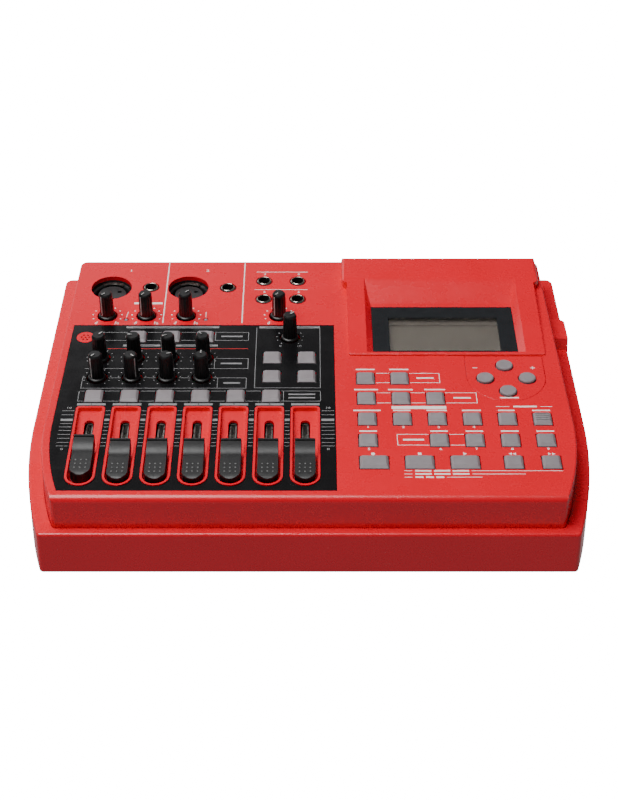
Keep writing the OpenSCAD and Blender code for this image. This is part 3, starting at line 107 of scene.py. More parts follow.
def started(name, **sockets):
    """A new material with these sockets of its shader set."""
    material = bpy.data.materials.new(name)
    material.use_nodes = True
    tree = material.node_tree
    shader = tree.nodes["Principled BSDF"]
    for key, value in sockets.items():
        shader.inputs[key.replace("_", " ")].default_value = value
    place = add(tree, "ShaderNodeTexCoord").outputs["Object"]
    return Finish(material, tree, shader, place)


def mottled(new, low, high, patch_mm):
    """Base colour that wanders between two hex colours in patches of a real size."""
    patches = add(new.tree, "ShaderNodeTexNoise",
                  {"Scale": 1 / (patch_mm * MM), "Detail": 3.0, "Roughness": 0.55},
                  {"Vector": new.place})
    ramp = add(new.tree, "ShaderNodeValToRGB", {}, {"Fac": patches.outputs["Fac"]})
    for stop, position, colour in zip(ramp.color_ramp.elements, (0.25, 0.75), (low, high)):
        stop.position = position
        stop.color = srgb(colour)
    new.tree.links.new(ramp.outputs["Color"], new.shader.inputs["Base Color"])


def bumped(new, height, deep_mm, strength):
    """Bump of a real depth from a pattern's heights."""
    bump = add(new.tree, "ShaderNodeBump", {"Strength": strength, "Distance": deep_mm * MM},
               {"Height": height})
    new.tree.links.new(bump.outputs["Normal"], new.shader.inputs["Normal"])


def grained(new, grain_mm, deep_mm, strength):
    """Bump of a moulded, cast or printed surface, by the size and depth of its grain.

    Real grain is often finer than 0.1 mm and would not show, so it is drawn coarser.
    """
    grain = add(new.tree, "ShaderNodeTexNoise",
                {"Scale": 1 / (grain_mm * MM), "Detail": 2.0, "Roughness": 0.5},
                {"Vector": new.place})
    bumped(new, grain.outputs["Fac"], deep_mm, strength)


def patchy_gloss(new, low, high, patch_mm):
    """Roughness that wanders between two values, as handling polishes and dulls a surface."""
    patches = add(new.tree, "ShaderNodeTexNoise",
                  {"Scale": 1 / (patch_mm * MM), "Detail": 4.0, "Roughness": 0.6},
                  {"Vector": new.place})
    span = add(new.tree, "ShaderNodeMapRange",
               {"From Min": 0.3, "From Max": 0.7, "To Min": low, "To Max": high},
               {"Value": patches.outputs["Fac"]})
    new.tree.links.new(span.outputs["Result"], new.shader.inputs["Roughness"])


def laid_over(new, amount, colour):
    """Lays a hex colour over the shader's colour, by an amount from 0 to 1."""
    under = new.shader.inputs["Base Color"].links[0].from_socket
    mix = add(new.tree, "ShaderNodeMix", {"data_type": "RGBA"},
              {MIX_AMOUNT: amount, MIX_UNDER: under})
    mix.inputs[MIX_OVER].default_value = srgb(colour)
    new.tree.links.new(mix.outputs[MIX_RESULT], new.shader.inputs["Base Color"])


def specked(new, colour, cell_mm, speck_mm, share, where_mm=22, least=0.5):
    """Small specks of another colour, such as dust or dirt, gathered in some places."""
    core, fade = 0.4, 0.12
    cells = add(new.tree, "ShaderNodeTexVoronoi", {"Scale": 1 / (cell_mm * MM)},
                {"Vector": new.place})
    near = add(new.tree, "ShaderNodeMapRange",
               {"From Min": speck_mm / cell_mm, "From Max": core * speck_mm / cell_mm,
                "To Min": 0.0, "To Max": share}, {"Value": cells.outputs["Distance"]})
    where = add(new.tree, "ShaderNodeTexNoise", {"Scale": 1 / (where_mm * MM), "Detail": 2.0},
                {"Vector": new.place})
    gate = add(new.tree, "ShaderNodeMapRange", {"From Min": least, "From Max": least + fade},
               {"Value": where.outputs["Fac"]})
    amount = add(new.tree, "ShaderNodeMath", {"operation": "MULTIPLY"},
                 {0: near.outputs["Result"], 1: gate.outputs["Result"]})
    laid_over(new, amount.outputs[0], colour)


def hazed(new, colour, long_mm, thin_mm, share, least=0.62):
    """Faint wiped streaks of another colour, longer across the object than along it."""
    fade, slant = 0.16, math.radians(8)
    drawn = add(new.tree, "ShaderNodeMapping", {}, {"Vector": new.place})
    drawn.inputs["Scale"].default_value = (thin_mm / long_mm, 1.0, 1.0)
    drawn.inputs["Rotation"].default_value = (0.0, 0.0, slant)
    streaks = add(new.tree, "ShaderNodeTexNoise",
                  {"Scale": 1 / (thin_mm * MM), "Detail": 5.0, "Roughness": 0.6},
                  {"Vector": drawn.outputs["Vector"]})
    amount = add(new.tree, "ShaderNodeMapRange",
                 {"From Min": least, "From Max": least + fade, "To Min": 0.0, "To Max": share},
                 {"Value": streaks.outputs["Fac"]})
    laid_over(new, amount.outputs["Result"], colour)


def satin_red_abs():
    """Case: ABS moulded in red. A spark-eroded tool leaves a fine satin grain, and pale dust,
    wiped streaks and a few dark specks lie on top."""
    new = started("satin_red_abs", Roughness=0.28, IOR=1.54)
    mottled(new, "#de001e", "#e60023", 35)
    hazed(new, "#f0746c", 14, 1.6, 0.08)
    specked(new, "#f6d3cd", 3.2, 0.16, 0.55)
    specked(new, "#6a1113", 9.0, 0.3, 0.5, 30, 0.56)
    patchy_gloss(new, 0.24, 0.31, 14)
    grained(new, 0.35, 0.005, 0.15)
    return new.material


def printed_black_film():
    """Mixer panel: polycarbonate film printed black from behind, so its smooth face has a soft
    gloss that shows dust and wiped streaks."""
    new = started("printed_black_film", Roughness=0.2, IOR=1.5)
    mottled(new, "#0b0b0c", "#111012", 20)
    hazed(new, "#3a3838", 10, 1.2, 0.12)
    specked(new, "#8f8a86", 2.6, 0.14, 0.5)
    patchy_gloss(new, 0.17, 0.24, 9)
    grained(new, 0.3, 0.006, 0.35)
    return new.material


def grey_silicone_rubber():
    """Keys: translucent grey silicone rubber, moulded, so light sinks in a little."""
    new = started("grey_silicone_rubber", Roughness=0.5, IOR=1.41, Subsurface_Weight=0.2,
                  Subsurface_Radius=(0.0008, 0.0007, 0.0007))
    mottled(new, "#7f787b", "#8a8386", 6)
    patchy_gloss(new, 0.44, 0.58, 4)
    grained(new, 0.2, 0.005, 0.3)
    return new.material


def moulded_plastic(name, low, high, smooth, rough, grain_mm):
    """Hard plastic parts: ABS, nylon or acrylic, as glossy as the mould was polished, with
    patches that fingers have polished or dulled."""
    new = started(name, Roughness=smooth, IOR=1.54)
    mottled(new, low, high, 5)
    patchy_gloss(new, smooth, rough, 3)
    grained(new, grain_mm, 0.005, 0.3)
    return new.material


def bright_chrome():
    """Jack bushings: nickel and chromium plate over turned brass, so it mirrors the room."""
    new = started("bright_chrome", Roughness=0.16, Metallic=1.0)
    mottled(new, "#b7aca0", "#d9d2c8", 3)
    patchy_gloss(new, 0.12, 0.26, 2)
    grained(new, 0.4, 0.003, 0.2)
    return new.material


def plated_metal(name, low, high):
    """Small stamped or turned metal parts, barrel plated, so they reflect softly."""
    new = started(name, Roughness=0.3, Metallic=1.0)
    mottled(new, low, high, 2)
    patchy_gloss(new, 0.24, 0.4, 2)
    grained(new, 0.15, 0.004, 0.3)
    return new.material


def fibreglass_board():
    """Circuit boards: glass epoxy under green solder mask, with the weave just showing."""
    new = started("fibreglass_board", Roughness=0.35, IOR=1.55)
    mottled(new, "#1f5a37", "#2c6b45", 4)
    patchy_gloss(new, 0.3, 0.45, 5)
    # the wave node draws 20 radians to a unit, so this is a thread every 0.99 mm: a real weave
    # is finer, and is drawn this coarse to show
    weave = add(new.tree, "ShaderNodeTexWave", {"Scale": 1 / (3.14 * MM), "Distortion": 0.5},
                {"Vector": new.place})
    bumped(new, weave.outputs["Fac"], 0.01, 0.2)
    return new.material


def clear_acrylic():
    """Display pane: clear cast acrylic, polished, thin enough to let nearly all light by."""
    new = started("clear_acrylic", Roughness=0.04, IOR=1.49, Transmission_Weight=1.0, Alpha=0.3)
    mottled(new, "#f2f4f2", "#fbfcfa", 40)
    patchy_gloss(new, 0.03, 0.08, 20)
    return new.material


def lcd_glass():
    """Unlit display: grey reflective film behind polarising glass, greenish brown, with broad
    lighter streaks of painted reflection.
    """
    new = started("lcd_glass", Roughness=0.34, IOR=1.5)
    mottled(new, "#665f57", "#6d665e", 25)
    # broad lighter streaks across the screen: painted reflection of the room in the glass over it
    hazed(new, "#7d776f", 30, 4.0, 0.2, 0.55)
    patchy_gloss(new, 0.28, 0.38, 12)
    grained(new, 0.3, 0.004, 0.15)
    return new.material


def black_rubber():
    """Feet: black chloroprene rubber, dull."""
    new = started("black_rubber", Roughness=0.75, IOR=1.52)
    mottled(new, "#19191a", "#262627", 3)
    grained(new, 0.3, 0.02, 0.6)
    return new.material


def unlit_lens():
    """Peak lamps: frosted lens that looks greyish pink while it is dark."""
    new = started("unlit_lens", Roughness=0.2, IOR=1.5)
    mottled(new, "#7d5f68", "#96808a", 1)
    patchy_gloss(new, 0.12, 0.25, 1)
    return new.material


def screen_ink(name, low, high):
    """Print on the case, panel and knobs: opaque screen ink, a touch uneven at its own scale."""
    new = started(name, Roughness=0.5, IOR=1.5)
    mottled(new, low, high, 1.2)
    grained(new, 0.12, 0.004, 0.3)
    return new.material


RED = satin_red_abs()
PANEL = printed_black_film()
RUBBER_KEY = grey_silicone_rubber()
KNOB_BLACK = moulded_plastic("polished_black_abs", "#080809", "#0d0d0e", 0.3, 0.4, 0.5)
CAP_BLACK = moulded_plastic("satin_black_abs", "#0a0a0b", "#0e0e0f", 0.42, 0.52, 0.3)
# the fader caps' raised dots, drawn pale grey against the black cap
DOT_GREY = moulded_plastic("worn_black_abs", "#6a6a6a", "#7d7d7c", 0.25, 0.4, 0.3)
SOCKET_BLACK = moulded_plastic("moulded_black_nylon", "#1c1c1d", "#29292b", 0.35, 0.5, 0.25)
# black for the jack bores below the deck: the housing's own black, and painted shade inside the
# bore
BORE_BLACK_AND_SHADE = moulded_plastic("black_contact_housing", "#0a0908", "#100e0c", 0.5, 0.65, 0.25)
BORDER_BLACK = moulded_plastic("black_backed_acrylic", "#1b1d1f", "#222427", 0.1, 0.18, 1.5)
CHROME = bright_chrome()
STEEL = plated_metal("zinc_plated_steel", "#a9a8a4", "#c4c2bd")
DULL_NICKEL = plated_metal("dull_nickel_plate", "#5d5c59", "#75736f")
BOARD = fibreglass_board()
ACRYLIC = clear_acrylic()
LCD = lcd_glass()
FOOT_RUBBER = black_rubber()
LENS = unlit_lens()
WHITE_INK = screen_ink("white_screen_ink", "#efe9e4", "#fbf7f2")
GREY_INK = screen_ink("grey_screen_ink", "#7b7a7c", "#8d8c8d")
DARK_INK = screen_ink("black_screen_ink", "#151516", "#1c1c1d")
RED_INK = screen_ink("red_screen_ink", "#c0141b", "#cf1a20")
POINTER = screen_ink("pale_grey_ink", "#b9b8b6", "#cbcac7")

CAD_FINISH = {
    "lower_case": RED, "upper_case": RED, "bottom_cover": RED, "battery_door": RED,
    "display_hood": RED, "cursor_bezel": RED, "mixer_panel": PANEL, "rubber_feet": FOOT_RUBBER,
    "screws": STEEL, "main_board": BOARD, "panel_boards": BOARD, "tact_switches": SOCKET_BLACK,
    "microphone_sockets": SOCKET_BLACK, "jack_sockets": CHROME, "slide_pots": STEEL,
    "rotary_pots": STEEL, "built_in_microphone": STEEL, "peak_lamps": LENS,
    "card_socket": SOCKET_BLACK, "rear_sockets": SOCKET_BLACK, "power_switch": CAP_BLACK,
    "input_select_switch": CAP_BLACK, "display_window": ACRYLIC, "lcd_module": LCD,
}


def cad_finish(name):
    """The finish of a CAD node. The keys share one, and so do the faders and the knobs."""
    if name in CAD_FINISH:
        return CAD_FINISH[name]
    if "key" in name:
        return RUBBER_KEY
    return CAP_BLACK if "fader" in name else KNOB_BLACK


def dress_cad_nodes():
    """A finish for every CAD node, in all its material slots."""
    for name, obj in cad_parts.items():
        finish = cad_finish(name)
        if not obj.data.materials:
            obj.data.materials.append(finish)
        for held in obj.material_slots:
            held.material = finish


# Making and placing pieces

# Corners of a CAD mesh this near, in metres, are one, and faces that meet at less than this angle
# are one flat face.
SAME_PLACE = 2e-6
LEVEL = math.radians(0.6)
# Least angles in degrees between two faces: a moulded edge, and an edge of a plain block
MOULDED_EDGE = 42
BLOCK_EDGE = 60


def mesh_of(name, bm, materials):
    """A mesh with its materials from a bmesh, which is freed."""
    mesh = bpy.data.meshes.new(name)
    bm.to_mesh(mesh)
    bm.free()
    for material in materials:
        mesh.materials.append(material)
    return mesh


def put_in_scene(name, data):
    """A new object in the scene from a mesh, a curve, a light or a camera."""
    obj = bpy.data.objects.new(name, data)
    bpy.context.scene.collection.objects.link(obj)
    return obj


def finished(name, bm, material, body="case", stands_for=(), place=DECK,
             crease=35, more=()):
    """A piece from a bmesh, put in its place, shaded smooth up to a crease angle in degrees."""
    bmesh.ops.transform(bm, matrix=place, verts=bm.verts)
    mesh = mesh_of(name, bm, (material, *more))
    mesh.polygons.foreach_set("use_smooth", [True] * len(mesh.polygons))
    mesh.set_sharp_from_angle(angle=math.radians(crease))
    obj = put_in_scene(name, mesh)
    # flat faces stay flat in the light beside their rounded edges
    even = obj.modifiers.new("even_shading", "WEIGHTED_NORMAL")
    even.keep_sharp = True
    even.weight = 90
    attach(obj, body)
    if stands_for:
        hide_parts(*stands_for)


def round_edges(bm, edges, width, segments):
    """Rounds these edges by a width in the mesh's own unit."""
    bmesh.ops.bevel(bm, geom=edges, offset=width, offset_type="OFFSET", affect="EDGES",
                    segments=segments, profile=0.5, material=-1, clamp_overlap=True)


def sharp_edges(bm, least, keep=None):
    """Edges whose faces meet at more than an angle in degrees, and that keep allows."""
    return [e for e in bm.edges
            if len(e.link_faces) == 2 and e.calc_face_angle(0) > math.radians(least)
            and (keep is None or keep(e))]


def from_cad(node):
    """A CAD node's mesh with its loose triangles merged and its flat faces whole again."""
    bm = bmesh.new()
    bm.from_mesh(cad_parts[node].data)
    bmesh.ops.remove_doubles(bm, verts=bm.verts, dist=SAME_PLACE)
    bmesh.ops.dissolve_limit(bm, angle_limit=LEVEL, verts=bm.verts, edges=bm.edges)
    return bm


def in_place_of(node, ending, bm, material, body, crease=MOULDED_EDGE, more=()):
    """A reshaped CAD mesh that stands for its node."""
    finished(node + ending, bm, material, body, [node], AS_BUILT, crease, more)


def softened(node, width_mm, material, body=None, least=MOULDED_EDGE, crease=MOULDED_EDGE):
    """A CAD node with its moulded edges rounded. It rides its own body, or the one named."""
    bm = from_cad(node)
    round_edges(bm, sharp_edges(bm, least), width_mm * MM, 2)
    in_place_of(node, "_moulded", bm, material, body or node, crease)


def slab(bm, u0, v0, u1, v1, h0, h1):
    """A rectangular solid added to a bmesh."""
    size = Matrix.Diagonal((u1 - u0, v1 - v0, h1 - h0, 1))
    middle = Matrix.Translation(((u0 + u1) / 2, (v0 + v1) / 2, (h0 + h1) / 2))
    bmesh.ops.create_cube(bm, size=1, matrix=middle @ size)


def turned(bm, u, v, h, profile, steps, degrees=360, start=0):
    """A profile of radius and height points turned round an axis square to the deck."""
    whole = degrees >= 360
    points = [bm.verts.new((r, 0, height)) for r, height in profile]
    edges = [bm.edges.new(pair) for pair in zip(points, points[1:] + points[:1])]
    face = [] if whole else [bm.faces.new(points)]
    bmesh.ops.spin(bm, geom=points + edges + face, cent=(0, 0, 0), axis=(0, 0, 1),
                   angle=math.radians(degrees), steps=steps, use_merge=whole)
    # the new solid is all that hangs together with the profile's points
    grown = set(points)
    queue = list(points)
    while queue:
        for e in queue.pop().link_edges:
            for other in e.verts:
                if other not in grown:
                    grown.add(other)
                    queue.append(other)
    bmesh.ops.transform(bm, verts=list(grown), matrix=Matrix.Translation((u, v, h))
                        @ Matrix.Rotation(math.radians(start), 4, "Z"))
    bmesh.ops.recalc_face_normals(bm, faces=list({f for p in grown for f in p.link_faces}))


# Print on the deck and on the panel, in thin layers of ink

# Underside and top of a layer of ink, and of a second one printed over it
INK = (-0.02, 0.03)
OVERPRINT = (0.01, 0.055)
# Widths of lines: between the inputs, in signs and on grey bars, over the jacks and in red,
# frames on the deck, ticks of the fader scales, and frames on the panel
SEPARATOR, SIGN_LINE, FINE_LINE, DECK_FRAME, TICK, PANEL_FRAME = 0.6, 0.5, 0.4, 0.35, 0.34, 0.32
# Widths of the plain rules where a control has its label, from small to large
RULE_S, RULE_M, RULE_L, RULE_XL = 1.0, 1.1, 1.2, 1.3
# How far from the middle of a key's or a knob's opening a line stops, and the shortest line
KEY_GAP, KNOB_GAP = 5.3, 6.0
SHORTEST = 0.4
# A knob's scale
SCALE_DOTS = 11
KNOB_SWEEP = 280
# Font sizes: at a microphone socket, a jack, a key, the end of a scale, and on a grey bar. The
# figures are this much wider than the font's, and bolder by this share of their size.
SOCKET_FIGURE, JACK_FIGURE, KEY_FIGURE, SCALE_FIGURE, BAR_FIGURE = 3.0, 2.3, 2.4, 2.2, 1.7
FIGURE_WIDE, FIGURE_BOLD = 1.25, 0.012


def stroke(bm, u0, v0, u1, v1, width, layer=INK):
    """A straight line of ink from one place to another."""
    low, high = layer
    along = Vector((u1 - u0, v1 - v0, 0))
    turn = Matrix.Rotation(math.atan2(along.y, along.x), 4, "Z")
    size = Matrix.Diagonal((along.length, width, high - low, 1))
    middle = Matrix.Translation(((u0 + u1) / 2, (v0 + v1) / 2, (low + high) / 2))
    bmesh.ops.create_cube(bm, size=1, matrix=middle @ turn @ size)


def rule(bm, u0, u1, v, width, layer=INK):
    """A line across the deck."""
    stroke(bm, u0, v, u1, v, width, layer)


def post(bm, u, v0, v1, width):
    """A line up the deck."""
    stroke(bm, u, v0, u, v1, width)


def block(bm, u0, v0, u1, v1):
    """A filled rectangle of ink."""
    slab(bm, u0, v0, u1, v1, *INK)


def spot(bm, u, v, r, sides, turn=0):
    """A patch of ink with equal sides, which is a round dot when it has many."""
    low, high = INK
    bmesh.ops.create_cone(bm, cap_ends=True, segments=sides, radius1=r, radius2=r,
                          depth=high - low, matrix=Matrix.Translation((u, v, (low + high) / 2))
                          @ Matrix.Rotation(math.radians(turn), 4, "Z"))


def triangle(bm, u, v, size, left=False):
    """A solid triangle that points right or left."""
    spot(bm, u, v, size, 3, 90 if left else -90)


def outline(bm, u0, v0, u1, v1, width, sides="lrbt"):
    """A rectangular frame of ink, or some of its sides: left, right, bottom, top."""
    half = width / 2
    for side, v in (("b", v0), ("t", v1)):
        if side in sides:
            rule(bm, u0 - half, u1 + half, v, width)
    for side, u in (("l", u0), ("r", u1)):
        if side in sides:
            post(bm, u, v0 + half, v1 - half, width)


def row_line(bm, u0, u1, v, width, openings, gap):
    """A line across the deck that stops on both sides of every opening in its row."""
    at = u0
    for u in openings:
        if u0 < u + gap and u - gap < u1:
            if u - gap - at > SHORTEST:
                rule(bm, at, u - gap, v, width)
            at = u + gap
    if u1 - at > SHORTEST:
        rule(bm, at, u1, v, width)


def framed_row(bm, u0, v0, u1, v1, width, sides, broken, openings, gap):
    """A frame round a row of controls, with whole sides and with lines broken at openings."""
    for v in broken:
        row_line(bm, u0, u1, v, width, openings, gap)
    outline(bm, u0, v0, u1, v1, width, sides)


def ring_of_dots(bm, u, v, r, dot_r):
    """Dots round a knob, from one stop to the other."""
    for i in range(SCALE_DOTS):
        a = math.radians(90 + KNOB_SWEEP / 2 - KNOB_SWEEP * i / (SCALE_DOTS - 1))
        spot(bm, u + r * math.cos(a), v + r * math.sin(a), dot_r, 8)


def figures(bm, text, u, v, size, layer=INK):
    """Plain figures, centred on a place."""
    low, high = layer
    curve = bpy.data.curves.new("figures", "FONT")
    curve.body = text
    curve.size = size
    curve.align_x = "CENTER"
    curve.align_y = "CENTER"
    curve.extrude = (high - low) / 2
    curve.offset = FIGURE_BOLD * size
    curve.resolution_u = 3
    holder = put_in_scene("figures", curve)
    bpy.context.view_layer.update()
    mesh = bpy.data.meshes.new_from_object(
        holder.evaluated_get(bpy.context.evaluated_depsgraph_get()))
    mesh.transform(Matrix.Translation((u, v, (low + high) / 2))
                   @ Matrix.Diagonal((FIGURE_WIDE, 1, 1, 1)))
    bm.from_mesh(mesh)
    bpy.data.objects.remove(holder)
    bpy.data.curves.remove(curve)
    bpy.data.meshes.remove(mesh)


def end_figures(bm, u, aside, v):
    """The figures at the two ends of a knob's scale."""
    figures(bm, "0", u - aside, v, SCALE_FIGURE)
    figures(bm, "10", u + aside, v, SCALE_FIGURE)


def print_on_inputs(bm):
    """Lines, figures and knob scales along the rear of the deck, at the sockets and jacks."""
    for u in (-80.1, -36.75):
        post(bm, u, 142.3, 201.9, SEPARATOR)
    rule(bm, -30.0, -0.7, 192.5, FINE_LINE)
    rule(bm, -30.5, -0.7, 174.7, FINE_LINE)
    # short lines beside two knobs, and a plain block in place of each of two labels
    stroke(bm, -99.8, 152.9, -100.4, 147.7, DECK_FRAME)
    stroke(bm, -56.8, 152.9, -56.8, 147.7, DECK_FRAME)
    block(bm, -97.2, 160.4, -94.0, 162.1)
    block(bm, -87.1, 160.4, -81.4, 162.1)
    for text, u, v, size in (("1", -101.5, 193.9, SOCKET_FIGURE),
                             ("2", -57.9, 193.9, SOCKET_FIGURE),
                             ("3", -25.1, 190.3, JACK_FIGURE), ("4", -5.9, 190.3, JACK_FIGURE),
                             ("5", -25.0, 172.4, JACK_FIGURE), ("6", -5.8, 172.4, JACK_FIGURE)):
        figures(bm, text, u, v, size)
    for name in ("trim_a_knob", "gain_knob", "trim_b_knob", "phones_knob"):
        u, v, _ = KNOBS[name]
        ring_of_dots(bm, u, v, 8.0, 0.45)
        end_figures(bm, u, 5.6, 141.9)


def print_on_keys(bm):
    """Frames, rules and figures round the keys on the right."""
    for v0, v1, right, openings in ((88.5, 96.6, 68.3, KEY_U[1:2]),
                                    (71.4, 79.9, 86.5, KEY_U[1:3])):
        framed_row(bm, 35.1, v0, right, v1, DECK_FRAME, "r", (v0, v1), openings, KEY_GAP)
        rule(bm, right - 12.0, right - 3.0, (v0 + v1) / 2, RULE_L)
    block(bm, 42.3, 66.4, 70.3, 68.8)
    framed_row(bm, 44.2, 37.4, 77.7, 45.8, DECK_FRAME, "l", (37.4, 45.8), KEY_U[2:3], KEY_GAP)
    rule(bm, 47.0, 57.5, 41.6, RULE_XL)
    rule(bm, 95.8, 102.7, 68.4, DECK_FRAME)
    rule(bm, 118.7, 124.6, 68.4, DECK_FRAME)
    rule(bm, 104.6, 116.8, 68.4, RULE_L)
    # three rows in front of the transport keys, each with a label in three parts
    between = 1.2
    for v, first, last, label_0, label_1 in ((17.7, 79.4, 124.2, 51.8, 78.2),
                                             (15.3, 79.6, 105.6, 51.8, 78.2),
                                             (12.9, 67.1, 84.5, 51.8, 65.8)):
        rule(bm, 46.5, 50.4, v, DECK_FRAME)
        rule(bm, first, last, v, DECK_FRAME)
        part = (label_1 - label_0 - 2 * between) / 3
        for k in range(3):
            start = label_0 + k * (part + between)
            rule(bm, start, start + part, v, RULE_M)
    # plain figures below the keys, and a short rule above each one
    beside = 0.2
    for figure, u in zip("1234", KEY_U):
        figures(bm, figure, u + beside, 51.6, KEY_FIGURE)
    for figure, u in zip("56789", KEY_U[:1] + KEY_U[2:]):
        figures(bm, figure, u + beside, 34.3, KEY_FIGURE)
        rule(bm, u - 4.2, u + 4.6, 48.4, RULE_S)
    for v, halves in ((65.2, (7.0, 4.4, 5.2, 4.8, 4.2, 4.6)), (82.6, (6.2, 6.4, 5.4)),
                      (100.0, (5.0, 5.0))):
        for u, half in zip(KEY_U, halves):
            rule(bm, u - half, u + half, v, RULE_S)


def print_signs(bm):
    """The usual signs of the transport keys, minus and plus, and a rule at the cursor keys."""
    sign_v = 30.6
    spot(bm, 31.7, sign_v, 1.0, 20)
    block(bm, 53.9, sign_v - 0.9, 55.7, sign_v + 0.9)
    triangle(bm, 77.0, sign_v, 1.25)
    for u, left in ((99.8, True), (101.8, True), (118.8, False), (120.8, False)):
        triangle(bm, u, sign_v, 1.1, left)
    rule(bm, 86.4, 88.9, 101.4, SIGN_LINE)
    rule(bm, 116.8, 119.3, 101.4, SIGN_LINE)
    post(bm, 118.05, 100.2, 102.6, SIGN_LINE)
    rule(bm, 98.6, 108.4, 75.8, RULE_S)


def print_on_deck():
    """White ink on the red deck: separators, frames, knob scales and generic signs."""
    bm = bmesh.new()
    print_on_inputs(bm)
    print_on_keys(bm)
    print_signs(bm)
    finished("deck_print", bm, WHITE_INK)


def print_fader_scales(bm):
    """Scale lines between the faders and on both sides of them, with figures at the ends."""
    from_well = 7.9
    gaps = [(-126.0, -119.9), (6.3, 12.8)]
    gaps += [(left + from_well, right - from_well) for left, right in zip(FADER_U, FADER_U[1:])]
    for left, right in gaps:
        for v in (64.9, 61.6, 54.5, 51.8, 48.9, 45.8, 42.7, 39.4, 36.7):
            rule(bm, left, right, v, TICK)
        block(bm, left, 56.6, right, 58.4)
    for u in (-122.8, 9.6):
        figures(bm, "10", u, 67.3, SCALE_FIGURE)
        figures(bm, "0", u, 34.2, SCALE_FIGURE)


def print_panel_frames(bm):
    """Frames round the rows of keys and knobs, with a plain rule at the end of each."""
    framed_row(bm, -113.6, 126.1, -32.7, 133.5, PANEL_FRAME, "lr", (126.1, 133.5),
               COLUMN_U[1:4], KEY_GAP)
    post(bm, -50.6, 126.1, 133.5, PANEL_FRAME)
    rule(bm, -47.5, -36.0, 129.8, RULE_L)
    outline(bm, -50.1, 100.8, -32.3, 109.7, PANEL_FRAME)
    rule(bm, -118.4, -50.1, 100.8, PANEL_FRAME)
    rule(bm, -46.8, -35.6, 105.3, RULE_L)
    framed_row(bm, -118.6, 83.8, -32.8, 92.7, PANEL_FRAME, "lrb", (92.7,), COLUMN_U[:4],
               KNOB_GAP)
    post(bm, -47.8, 83.8, 92.7, PANEL_FRAME)
    rule(bm, -44.8, -36.0, 88.3, RULE_L)
    framed_row(bm, -119.1, 72.9, 5.9, 81.4, PANEL_FRAME, "lr", (72.9, 81.4), COLUMN_U[:6],
               KEY_GAP)
    post(bm, -13.2, 72.9, 81.4, PANEL_FRAME)
    for v in (78.6, 75.8):
        rule(bm, -10.6, 3.2, v, RULE_M)
    outline(bm, -28.4, 84.1, 5.9, 138.0, PANEL_FRAME, "lrb")


def print_on_panel():
    """Ink on the black panel: grey scales, frames and bars, dark figures on them, a red rule."""
    bm = bmesh.new()
    print_fader_scales(bm)
    print_panel_frames(bm)
    for bar in ((-99.6, 137.4, -48.9, 139.1), (-99.9, 120.6, -80.0, 122.2),
                (-71.5, 120.6, -49.0, 122.2), (-27.0, 137.3, 5.9, 139.1)):
        block(bm, *bar)
    for name, (u, v, _) in KNOBS.items():
        if name.startswith(("send", "pan", "effect")):
            ring_of_dots(bm, u, v, 7.1, 0.36)
    end_figures(bm, KNOBS["effect_time_knob"][0], 5.0, 120.9)
    for u in FADER_U:
        block(bm, u - 7.3, 69.4, u + 7.3, 71.1)
    finished("panel_print", bm, GREY_INK)

    # small dark figures and rules on the grey bars
    bm = bmesh.new()
    for i, u in enumerate(FADER_U):
        figures(bm, str(i + 1), u, 70.25, BAR_FIGURE, OVERPRINT)
    for left, right, v in ((-96.0, -52.5, 138.25), (-97.0, -83.0, 121.4), (-68.6, -52.0, 121.4),
                           (-24.0, 3.0, 138.2)):
        rule(bm, left, right, v, SIGN_LINE, OVERPRINT)
    finished("panel_print_dark", bm, DARK_INK)

    bm = bmesh.new()
    rule(bm, -107.9, -32.5, 118.5, FINE_LINE)
    finished("panel_print_red", bm, RED_INK)


# Pieces

def outer_bottom(edge):
    """An edge along the outside of the case's underside."""
    near_floor = 2.4 * MM
    if max(end.co.z for end in edge.verts) > near_floor:
        return False
    out = (edge.verts[0].co + edge.verts[1].co) / 2
    out.z = 0
    sides = [f.normal for f in edge.link_faces]
    return (any(n.z < -0.9 for n in sides)
            and any(abs(n.z) < 0.4 and n.dot(out) > 0 for n in sides))


def case_mouldings():
    """The red mouldings and the black panel, with edges rounded as the tool leaves them."""
    bm = from_cad("lower_case")
    round_edges(bm, sharp_edges(bm, MOULDED_EDGE, outer_bottom), 1.2 * MM, 3)
    # the first rounding leaves edges of less than 55 degrees, which stay as they are
    round_edges(bm, sharp_edges(bm, 55), 0.35 * MM, 2)
    in_place_of("lower_case", "_moulded", bm, RED, "case")
    for node, width in (("upper_case", 0.22), ("display_hood", 0.3), ("cursor_bezel", 0.15),
                        ("bottom_cover", 0.3)):
        softened(node, width, RED, "case", crease=24)
    softened("mixer_panel", 0.12, PANEL, "case")
    softened("battery_door", 0.3, RED)


def keys():
    """Every key in grey rubber with soft edges, its shallow slopes among them."""
    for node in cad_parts:
        if node.endswith(("_key", "_keys")):
            softened(node, 0.18, RUBBER_KEY, least=20, crease=20)


def fader_caps():
    """Fader caps with nine raised dots on the pad."""
    dot_r, dot_h, across, along, pad_front = 0.46, 2.86, 2.65, 2.9, 8.6
    for i, (u, v) in enumerate(zip(FADER_U, FADER_V)):
        node = "fader_%d" % (i + 1)
        softened(node, 0.25, CAP_BLACK, crease=30)
        bm = bmesh.new()
        for row in range(3):
            for column in (-1, 0, 1):
                middle = Matrix.Translation((u + across * column, v - pad_front + along * row,
                                             dot_h))
                bmesh.ops.create_uvsphere(bm, u_segments=12, v_segments=6, radius=dot_r,
                                          matrix=middle @ Matrix.Diagonal((1, 1, 0.8, 1)))
        finished(node + "_dots", bm, DOT_GREY, node)


